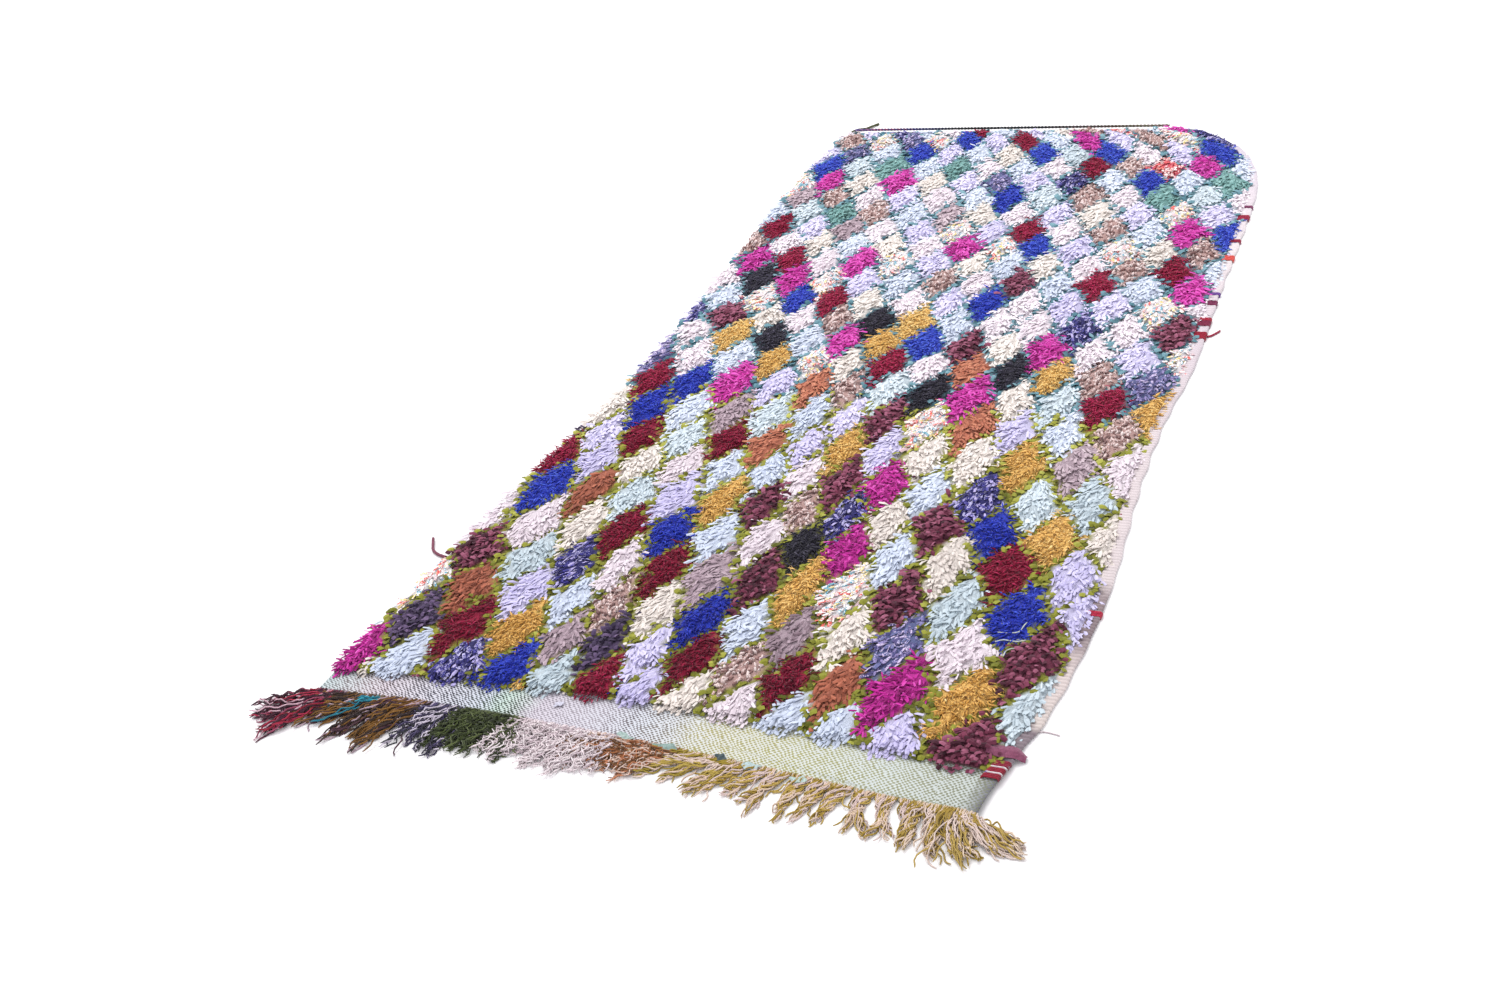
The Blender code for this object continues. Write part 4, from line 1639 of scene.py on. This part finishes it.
@dataclass
class CornerRag:
    """The flat strip of rag that lies over the corded edge by the near right corner."""

    shape: ClothShape
    along: float = 0.114
    inside: float = 0.046
    length: float = 0.062
    width: float = 0.027
    thick: float = 0.0014
    height: float = 0.0124
    droop: float = 0.006

    def build(self) -> None:
        """Shapes the strip with a fold along it and a narrowed tip."""
        form = grid_form(22, 8)
        for vert in form.verts:
            share, across = vert.co.x, vert.co.y - 0.5
            taper = 0.40 + 0.60 * math.sin(math.pi * min(1.0, 0.10 + 0.85 * share))
            out = share * self.length - self.inside
            past = float(ease(out / (self.length - self.inside)))
            buckle = 0.0016 * math.sin(9.0 * share + 2.0) + 0.0022 * math.cos(math.pi * 1.6 * across)
            rise = 0.0055 * float(ease(-out / self.inside))
            vert.co = (
                out,
                across * self.width * taper + 0.006 * math.sin(2.4 * share),
                self.height - self.droop * past + buckle + rise,
            )
        thickened(form, self.thick)
        edge = float(self.shape.right(self.along))
        bmesh.ops.translate(form, vec=(edge, self.along - self.shape.half, 0.0), verts=form.verts[:])
        bmesh.ops.recalc_face_normals(form, faces=form.faces[:])
        piece = finished_mesh("corner_rag_strip", form)
        piece.data.materials.append(yarn_material("corner_rag_finish", (126, 66, 92), (158, 98, 124)))
        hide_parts("corner_rag")
        report(piece)


@dataclass(frozen=True)
class Scrap:
    """A small crumpled rag lying flat. Metres and radians; its height is its middle's."""

    x: float
    y: float
    length: float
    width: float
    turn: float
    colour: Colour
    height: float = 0.0075


@dataclass
class Oddments:
    """Rag scraps tucked in under the band's warps, and pale threads caught on the pile."""

    thick: float = 0.0008
    crumple: float = 0.055
    thread_radius: float = 0.0011
    thread_height: float = 0.0185
    scraps: tuple[Scrap, ...] = (
        Scrap(0.014, -1.354, 0.032, 0.014, -0.35, (150, 172, 166)),
        Scrap(0.098, -1.365, 0.040, 0.022, 0.25, (128, 152, 146), 0.0095),
        Scrap(0.203, -1.360, 0.018, 0.014, -0.8, (58, 74, 78)),
        Scrap(0.262, -1.368, 0.030, 0.015, -0.1, (166, 186, 186)),
        Scrap(0.352, -1.378, 0.026, 0.013, 0.35, (164, 184, 178)),
        Scrap(-0.150, -1.304, 0.016, 0.010, 0.4, (190, 190, 206)),
    )
    threads: tuple[tuple[tuple[float, float], ...], ...] = (
        ((0.555, -0.937), (0.565, -0.940), (0.575, -0.937)),
        ((0.561, -0.964), (0.579, -0.963), (0.596, -0.956), (0.600, -0.940), (0.603, -0.927)),
        ((0.564, -0.990), (0.575, -0.983), (0.585, -0.982), (0.601, -0.982), (0.615, -0.975)),
        ((0.589, -1.025), (0.590, -1.009), (0.601, -1.001), (0.613, -1.004)),
    )

    def scrap(self, number: int, scrap: Scrap) -> None:
        """Folds one scrap.

        Args:
            number: Its number, for its name.
            scrap: Its place, size and colour.
        """
        form = grid_form(12, 8)
        for vert in form.verts:
            u, v = vert.co.x - 0.5, vert.co.y - 0.5
            ragged = 1.0 + 0.20 * math.sin(9.0 * u + 3.0 * number) * math.cos(5.0 * v + number)
            crumple = math.sin(11.0 * u + 4.0 * v + number) + 0.5 * math.cos(9.0 * v - 5.0 * u)
            rise = self.crumple * scrap.width * crumple
            vert.co = (u * scrap.length * ragged, v * scrap.width * ragged, rise)
        thickened(form, self.thick)
        turn = Matrix.Rotation(scrap.turn, 3, "Z")
        bmesh.ops.rotate(form, verts=form.verts[:], cent=(0.0, 0.0, 0.0), matrix=turn)
        bmesh.ops.translate(form, vec=(scrap.x, scrap.y, scrap.height), verts=form.verts[:])
        bmesh.ops.recalc_face_normals(form, faces=form.faces[:])
        piece = finished_mesh(f"tucked_scrap_{number}", form)
        piece.data.materials.append(yarn_material(f"scrap_cloth_{number}", scrap.colour))
        report(piece)

    def thread(self, number: int, places: tuple[tuple[float, float], ...]) -> None:
        """Lays one pale thread over the pile.

        Args:
            number: Its number, for its name.
            places: Where it runs.
        """
        route = smooth_route([Vector((x, y, self.thread_height)) for x, y in places], 6)
        centre = np.array([tuple(point) for point in route])[None]
        tone = np.array([0.5])
        piece = strand_piece(f"caught_thread_{number}", centre, self.thread_radius, 6, tone)
        piece.data.materials.append(yarn_material(f"thread_finish_{number}", (196, 206, 196)))
        report(piece)

    def build(self) -> None:
        """Makes every scrap and thread."""
        for number, scrap in enumerate(self.scraps):
            self.scrap(number, scrap)
        for number, places in enumerate(self.threads):
            self.thread(number, places)


# ---- Studio -------------------------------------------------------------------------------
@dataclass
class Studio:
    """Floor, soft light and camera."""

    floor_size: float = 60.0
    floor_shade: float = 0.84
    sky: tuple[float, ...] = (0.975, 0.955, 1.0, 1.0)
    sky_strength: float = 1.14
    key_power: float = 660.0
    key_size: float = 6.5
    key_colour: tuple[float, ...] = (1.0, 0.985, 0.965)
    key_place: Vector = field(default_factory=lambda: Vector((-3.0, 3.1, 8.8)))
    lens: float = 37.04
    sensor: float = 36.0
    eye: Vector = field(default_factory=lambda: Vector((1.3259, -2.9552, 1.7280)))
    forward: Vector = field(default_factory=lambda: Vector((-0.43589, 0.72245, -0.53673)))
    up: Vector = field(default_factory=lambda: Vector((-0.09053, 0.55814, 0.82479)))

    def camera(self) -> None:
        """Sets the camera."""
        data = bpy.data.cameras.new("camera")
        data.lens = self.lens
        data.sensor_width = self.sensor
        camera = placed("camera", data)
        back = -self.forward.normalized()
        right = self.up.cross(back).normalized()
        up = back.cross(right).normalized()
        turn = Matrix((right, up, back)).transposed().to_4x4()
        camera.matrix_world = Matrix.Translation(self.eye) @ turn
        bpy.context.scene.camera = camera

    def floor(self) -> None:
        """Lays a plain pale floor."""
        form = bmesh.new()
        bmesh.ops.create_grid(form, x_segments=1, y_segments=1, size=self.floor_size)
        floor = finished_mesh("floor", form, smooth=False)
        graph = Graph("floor_paper", roughness=1.0, sheen=0.0)
        graph.shader.inputs["Specular IOR Level"].default_value = 0.0
        graph.shader.inputs["Base Color"].default_value = (*[self.floor_shade] * 3, 1.0)
        floor.data.materials.append(graph.material)

    def lights(self) -> None:
        """Sets the world's soft light and one large light, high up past the far left corner."""
        world = bpy.data.worlds.new("studio")
        world.use_nodes = True
        shade = world.node_tree.nodes["Background"]
        shade.inputs["Color"].default_value = self.sky
        shade.inputs["Strength"].default_value = self.sky_strength
        bpy.context.scene.world = world
        data = bpy.data.lights.new("key", "AREA")
        data.energy = self.key_power
        data.size = self.key_size
        data.color = self.key_colour
        lamp = placed("key", data)
        turn = self.key_place.normalized().to_track_quat("Z", "Y").to_matrix().to_4x4()
        lamp.matrix_world = Matrix.Translation(self.key_place) @ turn

    def build(self) -> None:
        """Makes the whole studio."""
        self.camera()
        self.floor()
        self.lights()
        bpy.context.scene.view_settings.view_transform = "Standard"


def report(piece: bpy.types.Object) -> None:
    """Ties a finished piece to the rug's body, and logs it."""
    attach(piece, "root")
    faces = len(piece.data.polygons) if piece.type == "MESH" else 0
    LOG.info("%s: %d faces", piece.name, faces)


def main() -> None:
    """Builds the rug and its studio."""
    logging.basicConfig(level=logging.INFO, format="%(name)s %(message)s")
    Studio().build()
    shape = ClothShape()
    EdgeCords(shape).build()
    pile = Pile(shape, Lattice(shape), LozengeChart())
    GroundCloth(shape, pile).build()
    FlatBand(shape).build()
    pile.build()
    RightSelvedge(shape).build()
    CornerRag(shape).build()
    Fringe(shape).build()
    Oddments().build()


if __name__ == "__main__":
    main()
